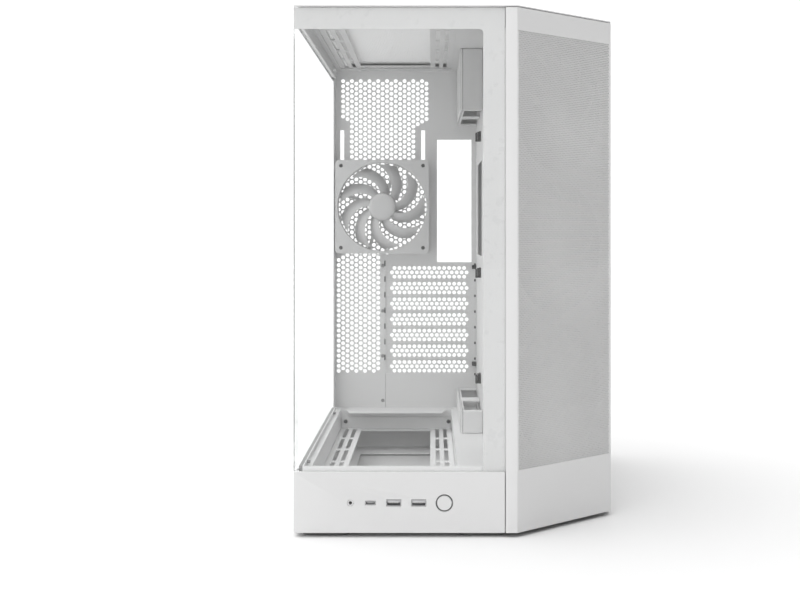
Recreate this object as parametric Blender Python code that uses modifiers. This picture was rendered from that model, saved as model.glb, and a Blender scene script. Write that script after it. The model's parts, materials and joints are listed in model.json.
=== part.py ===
"""A white dual-chamber computer case with two glass sides and a perforated 45 degree front corner.

Metres, +Z up. The front faces -Y, the glass side faces -X, and the origin is on the ground under the
middle of the case. Run it in Blender 4.5, or with blender --background --python part.py.
"""

import math

import bmesh
import bpy
from mathutils import Matrix, Vector

mm = 0.001

# Envelope: outer width, depth and height, and the plan size of the 45 degree corner cut.
case_width = 315 * mm
case_depth = 481 * mm
case_height = 506 * mm
corner_run = 102.2 * mm

# Sheets and the gaps between pieces.
sheet = 1.0 * mm
glass_thickness = 4.0 * mm
fascia_wall = 2.0 * mm
moulded_wall = 2.0 * mm
touch_gap = 0.3 * mm
seam_gap = 0.8 * mm

# Levels above the ground.
foot_height = 9.0 * mm
skirt_bottom = 4.0 * mm
floor_top = 61.5 * mm
ceiling_drop = 8.0 * mm
top_sheet = 1.2 * mm

# Space for the glass rails, and how far the rear wall sits in.
rail_space = 2.0 * mm
side_rail_space = 4.0 * mm
rear_recess = 11.0 * mm
rear_margin = 2.5 * mm

# Plan layout.
main_chamber_width = 189.0 * mm
corner_strip = 11.0 * mm
partition_from_front = 145.5 * mm
glass_border = 20.0 * mm
rear_flange = 20.0 * mm
post_return = 14.0 * mm

# Panel pegs, which push into round holes in the chassis.
peg_radius = 2.2 * mm
peg_clearance = 0.7 * mm
peg_reach = 4.0 * mm
rail_peg_radius = 1.5 * mm
rail_height = 3.8 * mm
lip_height = 5.3 * mm
lid_frame_drop = 3.0 * mm
lid_frame_width = 14.0 * mm
lid_peg_from_rear = 8.0 * mm
peg_end_offset = 38.0 * mm

# Fans: (frame side, thickness, screw spacing, opening radius, hub radius).
rear_fan = dict(side=120 * mm, depth=25 * mm, spacing=105 * mm, opening=57.0 * mm, hub=17.5 * mm)
side_fan = dict(side=140 * mm, depth=25 * mm, spacing=124.5 * mm, opening=67.0 * mm, hub=20.0 * mm)
fan_screw_radius = 2.15 * mm
fan_corner_radius = 5.0 * mm
fan_tip_gap = 1.2 * mm
fan_strut_width = 4.0 * mm
fan_strut_depth = 3.5 * mm
blade_count = 9
blade_thickness = 1.6 * mm
blade_sweep = math.radians(30)
blade_span = math.radians(31)
side_fan_count = 3
rear_fan_from_left = 67.5 * mm
rear_fan_below_ceiling = 176.2 * mm
side_fan_inset = 9.0 * mm
side_fan_above_floor = 2.0 * mm
side_fan_spacing = 0.8 * mm

# Rear wall apertures.
slot_count = 7
slot_pitch = 20.32 * mm
slots_above_floor = 43.4 * mm
slots_length = 108.0 * mm
slots_from_tray = 9.5 * mm
slot_web = 1.4 * mm
slot_overlap = 3.0 * mm
slot_tab_depth = 7.5 * mm
io_aperture = (44.45 * mm, 158.75 * mm)
io_from_tray = 6.45 * mm
io_above_slots = 3.2 * mm
fan_slot_width = 5.0 * mm
fan_slot_rise = 47.0 * mm

# Fan bays in the floor and the ceiling, on one centre line.
bay_width = 142.0 * mm
bay_from_tray = 103.5 * mm
bay_from_front = 38.5 * mm
bay_from_rear = 17.5 * mm
bay_depth = 24.0 * mm
bay_lip = 30.0 * mm
bay_lip_chamfer = 13.0 * mm
top_bay_from_rear = 24.5 * mm
slot_columns = (-62.25 * mm, -52.5 * mm, 52.5 * mm, 62.25 * mm)
mount_slot_width = 4.6 * mm
mount_slot_length = 72.0 * mm
mount_slot_web = 10.5 * mm
centre_opening = 88.0 * mm
bay_end_margin = 18.0 * mm
bracket_overlap = 5.0 * mm

# Cable covers along the tray, and the hooks between them.
cover_depth = 25.2 * mm
cover_length = 222.0 * mm
cover_top_height = 70.0 * mm
cover_bottom_height = 25.0 * mm
cover_radius = 5.0 * mm
outlet_length = 84.0 * mm
outlet_web = 32.0 * mm
hook_size = (6.2 * mm, 12.0 * mm, 10.0 * mm)
hook_wall = 1.8 * mm
hook_heights = (118 * mm, 242 * mm, 402 * mm)
hook_from_rear = 170.0 * mm

# Tray apertures: the processor window's height above the floor and its own height, then the cable windows.
cpu_window = (200 * mm, 112 * mm)
cpu_window_from_rear = 45.0 * mm
cpu_window_from_cables = 66.0 * mm
cable_window_size = (34 * mm, 92 * mm)
cable_window_from_partition = 34.5 * mm
cable_window_heights = (42 * mm, 168 * mm, 294 * mm)

# Power supply, drives.
psu_face = (86 * mm, 150 * mm)
psu_above_floor = 20.0 * mm
psu_frame_width = 8.0 * mm
psu_shelf_length = 158.0 * mm
psu_shelf_foot = 12.0 * mm
drive_size = (106 * mm, 150 * mm, 27 * mm)
drive_gap = 5.0 * mm
drive_count = 2
drive_above_psu = 148.0 * mm
drive_cage_from_rear = 22.0 * mm
ssd_size = (7.0 * mm, 52 * mm, 74 * mm)

# Front connectors: distances of their middles from the case's left side, at one height.
connector_height = 32.5 * mm
audio_from_left = 54.0 * mm
usb_c_from_left = 73.0 * mm
usb_a_from_left = (95.2 * mm, 119.0 * mm)
button_from_left = 143.4 * mm
audio_radius = 2.9 * mm
audio_bore = 1.75 * mm
usb_c_size = (9.4 * mm, 3.6 * mm)
usb_a_size = (13.6 * mm, 6.0 * mm)
port_wall = 0.5 * mm
carrier_thickness = 1.5 * mm
port_depth = 14.0 * mm
port_clearance = 0.3 * mm
button_radius = 6.9 * mm
button_depth = 5.0 * mm
button_travel = 1.2 * mm
ring_outer_radius = 8.0 * mm
ring_wall = 0.8 * mm
ring_inset = 0.8 * mm
board_thickness = 1.6 * mm
carrier_margin = 6.0 * mm

# Feet and filter.
foot_size = (46 * mm, 20 * mm)
foot_inset = (30 * mm, 26 * mm)
filter_overlap = 4.0 * mm
filter_thickness = 2.6 * mm
filter_rim = 5.0 * mm
filter_membrane = 0.8 * mm

# Derived places, in the case's own frame.
panel_depth = glass_thickness + rail_space
glass_side_inset = glass_thickness + side_rail_space
left_side = -case_width / 2
right_side = case_width / 2
front_side = -case_depth / 2
back_side = case_depth / 2
tray_x = left_side + main_chamber_width
rear_y = back_side - rear_recess
ceiling = case_height - ceiling_drop
panel_top = case_height - top_sheet - seam_gap
skirt_low = panel_top - glass_border + sheet
glass_bottom = floor_top + 3 * touch_gap
chassis_right = right_side - panel_depth - seam_gap
chassis_front = front_side + panel_depth + touch_gap
chassis_left = left_side + glass_side_inset
glass_right = right_side - corner_run - corner_strip - seam_gap
corner_angle = math.radians(45)
corner_middle = Vector((right_side - corner_run / 2, front_side + corner_run / 2, 0))
partition_y = front_side + partition_from_front
bay_x = tray_x - bay_from_tray
bay_front = front_side + bay_from_front
bay_back = rear_y - bay_from_rear
bay_length = bay_back - bay_front
top_bay_length = rear_y - top_bay_from_rear - bay_front
bay_floor = floor_top - bay_depth
slots_bottom = floor_top + slots_above_floor
slots_top = slots_bottom + slot_count * slot_pitch
slots_right = tray_x - slots_from_tray
cover_x = tray_x - touch_gap
lid_frame_inset = 2 * sheet + touch_gap
cut_extra = 5.0 * mm
round_steps = 24


# ---------------------------------------------------------------- helpers

def clear_scene():
    for item in list(bpy.data.objects):
        bpy.data.objects.remove(item, do_unlink=True)


def new_collection(name):
    made = bpy.data.collections.new(name)
    bpy.context.scene.collection.children.link(made)
    return made


def new_material(name, colour, roughness, metallic=0.0, alpha=1.0):
    made = bpy.data.materials.new(name)
    made.use_nodes = True
    shader = made.node_tree.nodes["Principled BSDF"]
    shader.inputs["Base Color"].default_value = (*colour, 1.0)
    shader.inputs["Roughness"].default_value = roughness
    shader.inputs["Metallic"].default_value = metallic
    shader.inputs["Alpha"].default_value = alpha
    return made


def add_object(name, mesh, finish, location=(0, 0, 0)):
    made = bpy.data.objects.new(name, mesh)
    made.location = location
    parts.objects.link(made)
    if finish is not None:
        mesh.materials.clear()
        mesh.materials.append(finish)
    return made


def mesh_from(bm, name):
    bmesh.ops.recalc_face_normals(bm, faces=bm.faces)
    mesh = bpy.data.meshes.new(name)
    bm.to_mesh(mesh)
    bm.free()
    return mesh


def box(name, low, high, finish=None):
    low, high = Vector(low), Vector(high)
    bm = bmesh.new()
    bmesh.ops.create_cube(bm, size=1)
    bmesh.ops.scale(bm, vec=high - low, verts=bm.verts)
    return add_object(name, mesh_from(bm, name), finish, (low + high) / 2)


def boxes(name, corners):
    """Separate boxes in one mesh, for cutting several holes at once."""
    bm = bmesh.new()
    for low, high in corners:
        low, high = Vector(low), Vector(high)
        place = Matrix.Translation((low + high) / 2) @ Matrix.Diagonal((*(high - low), 1))
        bmesh.ops.create_cube(bm, size=1, matrix=place)
    return add_object(name, mesh_from(bm, name), None)


def cylinders(name, places, radius, length, axis, finish=None, steps=round_steps):
    """Separate cylinders in one mesh, centred on places and all along one axis."""
    turn = Vector(axis).to_track_quat("Z", "Y").to_matrix().to_4x4()
    bm = bmesh.new()
    for place in places:
        bmesh.ops.create_cone(bm, cap_ends=True, segments=steps, radius1=radius, radius2=radius,
                              depth=length, matrix=Matrix.Translation(place) @ turn)
    return add_object(name, mesh_from(bm, name), finish)


def prism(name, outline, bottom, top, finish=None, upright=False):
    """A flat outline made thick: along Z, or along Y where the outline is (x, z) and it is upright."""
    curve = bpy.data.curves.new(name, "CURVE")
    curve.dimensions = "2D"
    curve.fill_mode = "BOTH"
    curve.extrude = (top - bottom) / 2
    spline = curve.splines.new("POLY")
    spline.points.add(len(outline) - 1)
    for point, (x, y) in zip(spline.points, outline):
        point.co = (x, y, 0, 1)
    spline.use_cyclic_u = True
    source = bpy.data.objects.new(name + "_outline", curve)
    parts.objects.link(source)
    mesh = bpy.data.meshes.new_from_object(source.evaluated_get(bpy.context.evaluated_depsgraph_get()))
    bpy.data.objects.remove(source, do_unlink=True)
    bm = bmesh.new()
    bm.from_mesh(mesh)
    bmesh.ops.remove_doubles(bm, verts=bm.verts, dist=0.01 * mm)
    bmesh.ops.translate(bm, vec=(0, 0, (top + bottom) / 2), verts=bm.verts)
    if upright:
        swap = Matrix(((1, 0, 0), (0, 0, 1), (0, 1, 0)))
        bmesh.ops.transform(bm, matrix=swap.to_4x4(), verts=bm.verts)
    return add_object(name, mesh_from(bm, name), finish)


def rounded(points, radius, steps=3):
    """An outline whose corners are arcs of one radius."""
    made = []
    for index, point in enumerate(points):
        corner = Vector(point)
        before = (Vector(points[index - 1]) - corner).normalized()
        after = (Vector(points[(index + 1) % len(points)]) - corner).normalized()
        half = before.angle(after) / 2
        middle = corner + (before + after).normalized() * radius / math.sin(half)
        start = corner + before * radius / math.tan(half) - middle
        end = corner + after * radius / math.tan(half) - middle
        turn = start.angle_signed(end)
        for step in range(steps + 1):
            arm = start.copy()
            arm.rotate(Matrix.Rotation(-turn * step / steps, 2))
            made.append(tuple(middle + arm))
    return made


def rectangle(low_x, low_y, high_x, high_y):
    return [(low_x, low_y), (high_x, low_y), (high_x, high_y), (low_x, high_y)]


def case_outline(left=0.0, front=0.0, right=0.0, corner=0.0, back=0.0):
    """The case's plan with its corner cut, each side moved in by its own inset."""
    near, far = front_side + front, back_side - back
    low, high = left_side + left, right_side - right
    cut_line = right_side - front_side - corner_run - corner / math.sin(corner_angle)
    return [(low, near), (cut_line + near, near), (high, high - cut_line), (high, far), (low, far)]


def thick_path(path, thickness):
    """A closed outline around an open path of (x, y) points, with the sheet on the path's left."""
    inner = []
    for index, point in enumerate(path):
        here = Vector(point)
        sides = []
        if index > 0:
            sides.append((here - Vector(path[index - 1])).normalized())
        if index < len(path) - 1:
            sides.append((Vector(path[index + 1]) - here).normalized())
        normals = [Vector((-side.y, side.x)) for side in sides]
        middle = sum(normals, Vector((0, 0))).normalized()
        inner.append(tuple(here + middle * thickness / middle.dot(normals[0])))
    return list(path) + inner[::-1]


def as_tool(item):
    parts.objects.unlink(item)
    cutters.objects.link(item)
    item.hide_render = True
    item.display_type = "WIRE"


def combine(target, operation, tools):
    for tool in tools:
        modifier = target.modifiers.new(operation.lower(), "BOOLEAN")
        modifier.operation = operation
        modifier.solver = "EXACT"
        modifier.object = tool
        as_tool(tool)
    return target


def cut(target, *tools):
    return combine(target, "DIFFERENCE", tools)


def join(target, *tools):
    return combine(target, "UNION", tools)


def follow(items, empty):
    """Parents pieces to an empty and moves them with it, keeping their own local places."""
    for item in items:
        item.parent = empty
    return items


def joint_empty(name, location, turn=0.0):
    empty = bpy.data.objects.new(name, None)
    empty.location = location
    empty.rotation_euler = (0, 0, turn)
    parts.objects.link(empty)
    return empty


# ---------------------------------------------------------------- base, floor and ceiling

def chassis_plan(extra=0.0, left=None):
    """The plan of the chassis inside its outer panels, moved in by extra."""
    return case_outline(left=(glass_side_inset if left is None else left) + extra,
                        front=chassis_front - front_side + extra,
                        right=right_side - chassis_right + extra,
                        corner=right_side - chassis_right + extra,
                        back=rear_margin + extra)


def side_peg_places(level):
    """Places of the right side panel's pegs at one height."""
    near = case_outline()[2][1] + peg_end_offset
    far = rear_y - peg_end_offset
    return [Vector((chassis_right, y, level)) for y in (near, far)]


def corner_peg_places(level):
    """Places of the corner panel's pegs at one height, in the corner's own frame."""
    reach = corner_run / math.sin(corner_angle) / 2 - peg_end_offset / 2
    return [Vector((x, right_side - chassis_right, level)) for x in (-reach, reach)]


def base_peg_level():
    return (floor_top + skirt_bottom) / 2


def top_peg_level():
    return (skirt_low + ceiling) / 2


def corner_tool(name, places, radius, length):
    """Round cutters that point into the corner, placed with the corner's frame."""
    tool = cylinders(name, places, radius, length, (0, 1, 0), steps=12)
    tool.location = corner_middle
    tool.rotation_euler = (0, 0, corner_angle)
    return tool


def make_base_pan():
    pan = prism("base_pan", chassis_plan(left=0.0), skirt_bottom, floor_top - sheet - touch_gap, steel)
    plate = foot_height
    inside = prism("base_inside", chassis_plan(sheet, left=0.0), plate + sheet, floor_top)
    under = prism("base_under", chassis_plan(sheet, left=0.0), 0, plate)
    vent = box("base_vent", (bay_x - centre_opening / 2, bay_front + bay_end_margin, plate - sheet),
               (bay_x + centre_opening / 2, bay_back - bay_lip, plate + cut_extra))
    window = box("base_window",
                 (left_side + audio_from_left - 3 * carrier_margin, chassis_front - cut_extra,
                  connector_height - 2.4 * carrier_margin),
                 (left_side + button_from_left + 3 * carrier_margin, chassis_front + cut_extra,
                  connector_height + 2.4 * carrier_margin))
    filter_near, filter_far = filter_ends()
    notch = box("base_filter_notch", (left_side - cut_extra, filter_near - touch_gap, 0),
                (left_side + cut_extra, filter_far + touch_gap, plate - touch_gap / 3))
    level = base_peg_level()
    holes = cylinders("base_peg_holes", side_peg_places(level), peg_radius + peg_clearance,
                      4 * sheet, (1, 0, 0), steps=12)
    corner_holes = corner_tool("base_corner_holes", corner_peg_places(level),
                               peg_radius + peg_clearance, 4 * sheet)
    return cut(pan, inside, under, vent, window, notch, holes, corner_holes)


def bay_mouth(clearance=0.0):
    """The floor opening: a rectangle whose rear edge is a wide lip with chamfered ends."""
    low, high = bay_x - bay_width / 2 + clearance, bay_x + bay_width / 2 - clearance
    lip_low, lip_high = low + bay_lip_chamfer, high - bay_lip_chamfer
    lip = bay_back - bay_lip
    return [(low, bay_front), (high, bay_front), (high, bay_back), (lip_high + bay_lip_chamfer / 2, bay_back),
            (lip_high, lip), (lip_low, lip), (lip_low - bay_lip_chamfer / 2, bay_back), (low, bay_back)]


def rail_peg_level():
    return glass_bottom + touch_gap + rail_height / 2


def floor_lip_tools():
    """The upturned lips that the glass rails' pegs push into, along the front and the left."""
    top = floor_top + lip_height
    front = box("floor_front_lip", (chassis_left, chassis_front, floor_top - sheet),
                (glass_right - glass_border - sheet, chassis_front + sheet, top))
    left = box("floor_left_lip", (chassis_left, chassis_front, floor_top - sheet),
               (chassis_left + sheet, rear_y - 2 * bay_end_margin, top))
    return front, left


def make_floor_pan():
    pan = prism("floor_pan", chassis_plan(), floor_top - sheet, floor_top, steel)
    wall = sheet
    ring = box("bay_ring", (bay_x - bay_width / 2 - wall, bay_front - wall, bay_floor + touch_gap),
               (bay_x + bay_width / 2 + wall, bay_back + wall, floor_top - sheet / 2))
    hollow = box("bay_hollow", (bay_x - bay_width / 2, bay_front, bay_floor - cut_extra),
                 (bay_x + bay_width / 2, bay_back, floor_top - sheet))
    mouth = prism("bay_mouth", bay_mouth(), floor_top - cut_extra, floor_top + cut_extra)
    join(pan, ring, *floor_lip_tools())
    level = rail_peg_level()
    front_holes = cylinders("floor_front_holes", glass_peg_places("front", level),
                            rail_peg_radius + peg_clearance / 2, 4 * sheet, (0, 1, 0), steps=10)
    left_holes = cylinders("floor_left_holes", glass_peg_places("left", level),
                           rail_peg_radius + peg_clearance / 2, 4 * sheet, (1, 0, 0), steps=10)
    return cut(pan, hollow, mouth, front_holes, left_holes)


def glass_peg_places(side, level):
    """Peg places along the front or the left glass, on the chassis's face."""
    if side == "front":
        span = (chassis_left + peg_end_offset / 2, glass_right - glass_border - peg_end_offset / 2)
        return [Vector((x, chassis_front, level)) for x in span]
    span = (chassis_front + peg_end_offset, rear_y - 2 * peg_end_offset)
    return [Vector((chassis_left, y, level)) for y in span]


def make_top_frame():
    """The ceiling plate, with skirts that go up to the lid and down behind the panels' upper edges."""
    frame = prism("top_frame", chassis_plan(), skirt_low, panel_top - touch_gap, steel)
    inside = prism("top_inside", chassis_plan(sheet), ceiling + sheet, panel_top + cut_extra)
    below = prism("top_below", chassis_plan(sheet), skirt_low - cut_extra, ceiling)
    behind = box("top_behind", (left_side, rear_y - rear_flange - sheet, skirt_low - cut_extra),
                 (right_side, back_side, ceiling))
    bay = box("top_bay", (bay_x - bay_width / 2, bay_front, ceiling - cut_extra),
              (bay_x + bay_width / 2, bay_front + top_bay_length, ceiling + cut_extra))
    level = top_peg_level()
    radius = peg_radius + peg_clearance
    length = 4 * sheet
    holes = [
        cylinders("top_front_holes", glass_peg_places("front", level), radius, length, (0, 1, 0), steps=12),
        cylinders("top_left_holes", glass_peg_places("left", level), radius, length, (1, 0, 0), steps=12),
        cylinders("top_right_holes", side_peg_places(level), radius, length, (1, 0, 0), steps=12),
        corner_tool("top_corner_holes", corner_peg_places(level), radius, length),
        cylinders("top_lid_holes", lid_peg_places(ceiling), radius, length, (0, 0, 1), steps=12),
    ]
    return cut(frame, inside, below, behind, bay, *holes)


def lid_peg_places(level):
    """Peg places on the top panel's frame, clear of the ceiling's fan bay and of the cable cover."""
    near_left = (bay_x - bay_width / 3, chassis_front + bay_from_front / 3)
    far_left = (near_left[0], rear_y - lid_peg_from_rear)
    right = chassis_right - lid_frame_inset - lid_frame_width / 2
    far_right = (right, rear_y - peg_end_offset)
    near_right = (right, partition_y + peg_end_offset)
    return [Vector((x, y, level)) for x, y in (near_left, far_left, far_right, near_right)]


def slot_rows(near, length):
    """(start, end) of the screw slots that fit along a bay."""
    count = int((length + mount_slot_web) / (mount_slot_length + mount_slot_web))
    used = count * (mount_slot_length + mount_slot_web) - mount_slot_web
    first = near + (length - used) / 2
    pitch = mount_slot_length + mount_slot_web
    return [(first + pitch * row, first + pitch * row + mount_slot_length) for row in range(count)]


def fan_slots(name, near, length, level):
    """Cutters for the screw slots of 120 and 140 mm fans, and for the air opening between them."""
    corners = []
    for column in slot_columns:
        for start, end in slot_rows(near, length):
            corners.append(((bay_x + column - mount_slot_width / 2, start, level - cut_extra),
                            (bay_x + column + mount_slot_width / 2, end, level + cut_extra)))
    corners.append(((bay_x - centre_opening / 2, near + bay_end_margin, level - cut_extra),
                    (bay_x + centre_opening / 2, near + length - bay_end_margin, level + cut_extra)))
    return boxes(name, corners)


def make_bottom_fan_tray():
    low, high = bay_x - bay_width / 2 + touch_gap, bay_x + bay_width / 2 - touch_gap
    near, far = bay_front + touch_gap, bay_back - touch_gap
    tray = box("bottom_fan_tray", (low, near, bay_floor - sheet), (high, far, bay_floor), steel)
    rise = bay_floor + bay_depth * 0.6
    root = bay_floor - sheet / 2
    ends = [box("tray_end_%d" % index, (low + sheet, y, root), (high - sheet, y + sheet, rise))
            for index, y in enumerate((near + touch_gap, far - touch_gap - sheet))]
    join(tray, *ends)
    return cut(tray, fan_slots("bottom_slots", bay_front, bay_length, bay_floor))


def make_top_fan_bracket():
    level = ceiling + sheet + touch_gap
    low, high = chassis_left + sheet + 2 * touch_gap, bay_x + bay_width / 2 + bracket_overlap
    near, far = bay_front - bracket_overlap, bay_front + top_bay_length + bracket_overlap
    bracket = box("top_fan_bracket", (low, near, level), (high, far, level + sheet), steel)
    return cut(bracket, fan_slots("top_slots", bay_front, top_bay_length, level))


# ---------------------------------------------------------------- walls

def make_rear_wall():
    low, high = left_side + glass_thickness + sheet, chassis_right
    bottom, top = floor_top + touch_gap, ceiling - touch_gap
    wall = box("rear_wall", (low, rear_y, bottom), (high, rear_y + sheet, top), steel)
    back = back_side - rear_margin - touch_gap
    sides = [box("rear_flange_%d" % index, (x, rear_y - rear_flange, bottom), (x + sheet, back, top))
             for index, x in enumerate((low, high - sheet))]
    join(wall, *sides)
    slots_low = slots_right - slots_length
    io_right = tray_x - io_from_tray
    io_bottom = slots_top + io_above_slots
    psu_x = (tray_x + sheet + chassis_right) / 2
    psu_z = floor_top + psu_above_floor
    fan_x, fan_z = rear_fan_centre().x, rear_fan_centre().z
    near, far = rear_y - cut_extra, rear_y + cut_extra
    rise = fan_z + rear_fan["spacing"] / 2
    holes = [
        ((slots_low, near, slots_bottom), (slots_right, far, slots_top)),
        ((io_right - io_aperture[0], near, io_bottom), (io_right, far, io_bottom + io_aperture[1])),
        ((psu_x - psu_face[0] / 2 - sheet, near, psu_z - sheet),
         (psu_x + psu_face[0] / 2 + sheet, far, psu_z + psu_face[1] + sheet)),
    ]
    for side in (-1, 1):
        middle = fan_x + side * rear_fan["spacing"] / 2
        holes.append(((middle - fan_slot_width / 2, near, rise - fan_slot_width),
                      (middle + fan_slot_width / 2, far, rise + fan_slot_rise)))
    low_screws = [Vector((fan_x + side * rear_fan["spacing"] / 2, rear_y, fan_z - rear_fan["spacing"] / 2))
                  for side in (-1, 1)]
    screws = cylinders("rear_fan_screw_holes", low_screws, fan_screw_radius, 4 * cut_extra, (0, 1, 0),
                       steps=12)
    return cut(wall, boxes("rear_apertures", holes), screws)


def make_motherboard_tray():
    """The wall between the chambers, turned outwards at its front end to close the rear chamber."""
    far = rear_y - touch_gap
    path = [(chassis_right - sheet - touch_gap, partition_y), (tray_x, partition_y), (tray_x, far)]
    outline = thick_path(path[::-1], sheet)
    tray = prism("motherboard_tray", outline, floor_top + touch_gap, ceiling - touch_gap, steel)
    near, away = tray_x - cut_extra, tray_x + cut_extra
    above, height = cpu_window
    start = partition_y + cable_window_from_partition
    end = start + cable_window_size[0]
    processor = box("processor_window", (near, end + cpu_window_from_cables, floor_top + above),
                    (away, rear_y - cpu_window_from_rear, floor_top + above + height))
    windows = [((near, start, floor_top + rise), (away, end, floor_top + rise + cable_window_size[1]))
               for rise in cable_window_heights]
    outlets = []
    for bottom, top in ((floor_top + cover_bottom_height * 0.3, floor_top + cover_bottom_height * 0.8),
                        (ceiling - cover_top_height * 0.7, ceiling - cover_top_height * 0.3)):
        for first in outlet_starts():
            outlets.append(((near, first + sheet, bottom), (away, first + outlet_length - sheet, top)))
    return cut(tray, processor, boxes("cable_windows", windows), boxes("tray_outlets", outlets))


def make_front_post():
    """The upright behind the front glass's printed edge and the corner panel's strip."""
    left = glass_right - glass_border
    front = chassis_front - panel_depth + glass_thickness + 2 * touch_gap
    path = [(left, front + post_return), (left, front), (glass_right + corner_strip * 0.7, front)]
    outline = thick_path(path, sheet)
    return prism("front_post", outline, floor_top + touch_gap, skirt_low - touch_gap, steel)


# ---------------------------------------------------------------- removable outer panels

def make_glass(name, low, high):
    return box(name, low, high, glass)


def make_rail(name, side, bottom, height, level, radius):
    """A steel strip glued behind the glass, with the pegs that hold the panel."""
    inner = glass_thickness + touch_gap
    if side == "front":
        low = (chassis_left + sheet, front_side + inner, bottom)
        high = (glass_right - glass_border - 2 * sheet, chassis_front - touch_gap, bottom + height)
        axis = (0, 1, 0)
    else:
        low = (left_side + inner, chassis_front + 2 * sheet, bottom)
        high = (chassis_left - touch_gap, rear_y - 2 * bay_end_margin, bottom + height)
        axis = (1, 0, 0)
    rail = box(name, low, high, steel)
    start = inner + touch_gap
    depth = chassis_front - front_side if side == "front" else glass_side_inset
    length = depth + peg_reach - start
    places = [place + Vector(axis) * (peg_reach - length / 2) for place in glass_peg_places(side, level)]
    return join(rail, cylinders(name + "_pegs", places, radius, length, axis, steps=10))


def make_front_glass():
    pane = make_glass("front_glass", (left_side, front_side, glass_bottom),
                      (glass_right, front_side + glass_thickness, panel_top))
    return [pane] + make_rails("front")


def make_left_glass():
    pane = make_glass("left_glass", (left_side, front_side + glass_thickness + seam_gap / 2, glass_bottom),
                      (left_side + glass_thickness, back_side, panel_top))
    return [pane] + make_rails("left")


def make_rails(side):
    """The upper and lower rail of one glass panel."""
    tall = ceiling - skirt_low - 2 * sheet
    upper = make_rail(side + "_glass_rail_top", side, skirt_low + sheet, tall, top_peg_level(), peg_radius)
    lower = make_rail(side + "_glass_rail_bottom", side, glass_bottom + touch_gap, rail_height,
                      rail_peg_level(), rail_peg_radius)
    return [upper, lower]


def make_corner_panel():
    """The folded corner panel: a narrow front strip and the wide 45 degree face."""
    outer = case_outline()
    strip_x = glass_right + seam_gap
    hem = glass_thickness - 2 * touch_gap
    path = [(strip_x, front_side + hem), (strip_x, front_side), outer[1], outer[2],
            (right_side - panel_depth + sheet, outer[2][1])]
    panel = prism("corner_panel", thick_path(path, sheet), skirt_bottom, panel_top, steel)
    depth = right_side - chassis_right
    for name, level in (("corner_pegs_low", base_peg_level()), ("corner_pegs_high", top_peg_level())):
        places = [Vector((place.x, (sheet / 2 + depth + peg_reach) / 2, level))
                  for place in corner_peg_places(level)]
        pegs = corner_tool(name, places, peg_radius, depth + peg_reach - sheet / 2)
        join(panel, pegs)
    return panel


def make_right_panel():
    near = case_outline()[2][1] + seam_gap
    low = (right_side - panel_depth, near, skirt_bottom)
    panel = box("right_panel", low, (right_side, back_side, panel_top), steel)
    hollow = box("right_hollow", (low[0] - cut_extra, near + sheet, skirt_bottom + sheet),
                 (right_side - sheet, back_side - sheet, panel_top - sheet))
    cut(panel, hollow)
    length = panel_depth + seam_gap + peg_reach - sheet / 2
    for name, level in (("right_pegs_low", base_peg_level()), ("right_pegs_high", top_peg_level())):
        places = [place + Vector((right_side - sheet / 2 - chassis_right - length / 2, 0, 0))
                  for place in side_peg_places(level)]
        join(panel, cylinders(name, places, peg_radius, length, (1, 0, 0), steps=10))
    return panel


def make_top_panel():
    prism("top_panel", case_outline(), case_height - top_sheet, case_height, steel)


def make_top_panel_frame():
    """The frame under the top panel, with the pegs that push into the ceiling plate."""
    top = case_height - top_sheet - touch_gap
    bottom = panel_top - lid_frame_drop
    frame = prism("top_panel_frame", chassis_plan(lid_frame_inset), bottom, top, white_plastic)
    inside = prism("lid_frame_inside", chassis_plan(lid_frame_inset + lid_frame_width), ceiling, case_height)
    length = (top + bottom) / 2 - (ceiling - sheet)
    places = lid_peg_places(ceiling - sheet + length / 2)
    cut(frame, inside)
    return join(frame, cylinders("top_pegs", places, peg_radius, length, (0, 0, 1), steps=10))


# ---------------------------------------------------------------- fans

def rear_fan_centre():
    return Vector((left_side + rear_fan_from_left, rear_y - touch_gap - rear_fan["depth"] / 2,
                   ceiling - rear_fan_below_ceiling))


def side_fan_centre(index):
    """Middle of one corner fan, counted from the bottom."""
    inward = side_fan_inset + sheet + touch_gap + side_fan["depth"] / 2
    pitch = side_fan["side"] + side_fan_spacing
    level = floor_top + side_fan_above_floor + side_fan["side"] / 2 + pitch * index
    place = Matrix.Rotation(corner_angle, 3, "Z") @ Vector((0, inward, 0)) + corner_middle
    return Vector((place.x, place.y, level))


def fan_screw_places(fan, middle=(0, 0, 0)):
    half = fan["spacing"] / 2
    return [Vector((x, 0, z)) + Vector(middle) for x in (-half, half) for z in (-half, half)]


def make_fan_frame(name, fan):
    """A square frame with a round opening, and a motor seat on four struts at its outlet side."""
    half, depth = fan["side"] / 2, fan["depth"]
    outline = rounded(rectangle(-half, -half, half, half), fan_corner_radius)
    frame = prism(name, outline, -depth / 2, depth / 2, white_plastic, upright=True)
    opening = cylinders(name + "_opening", [(0, 0, 0)], fan["opening"], depth * 2, (0, 1, 0), steps=48)
    cut(frame, opening)
    seat_y = depth / 2 - fan_strut_depth / 2
    seat = cylinders(name + "_seat", [(0, seat_y, 0)], fan["hub"] + sheet, fan_strut_depth, (0, 1, 0))
    reach = fan["opening"] + sheet
    strut = fan_strut_width / 2
    low_y, high_y = depth / 2 - fan_strut_depth * 0.9, depth / 2 - fan_strut_depth * 0.1
    upright = box(name + "_strut_a", (-strut, low_y, -reach), (strut, high_y, reach))
    level = box(name + "_strut_b", (-reach, low_y, -strut), (reach, high_y, strut))
    for tool in (upright, level):
        tool.rotation_euler = (0, math.radians(18), 0)
    join(frame, seat, upright, level)
    tools = [opening, seat, upright, level]
    holes = cylinders(name + "_screw_holes", fan_screw_places(fan), fan_screw_radius, depth * 2, (0, 1, 0),
                      steps=10)
    cut(frame, holes)
    return frame, tools + [holes]


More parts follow.
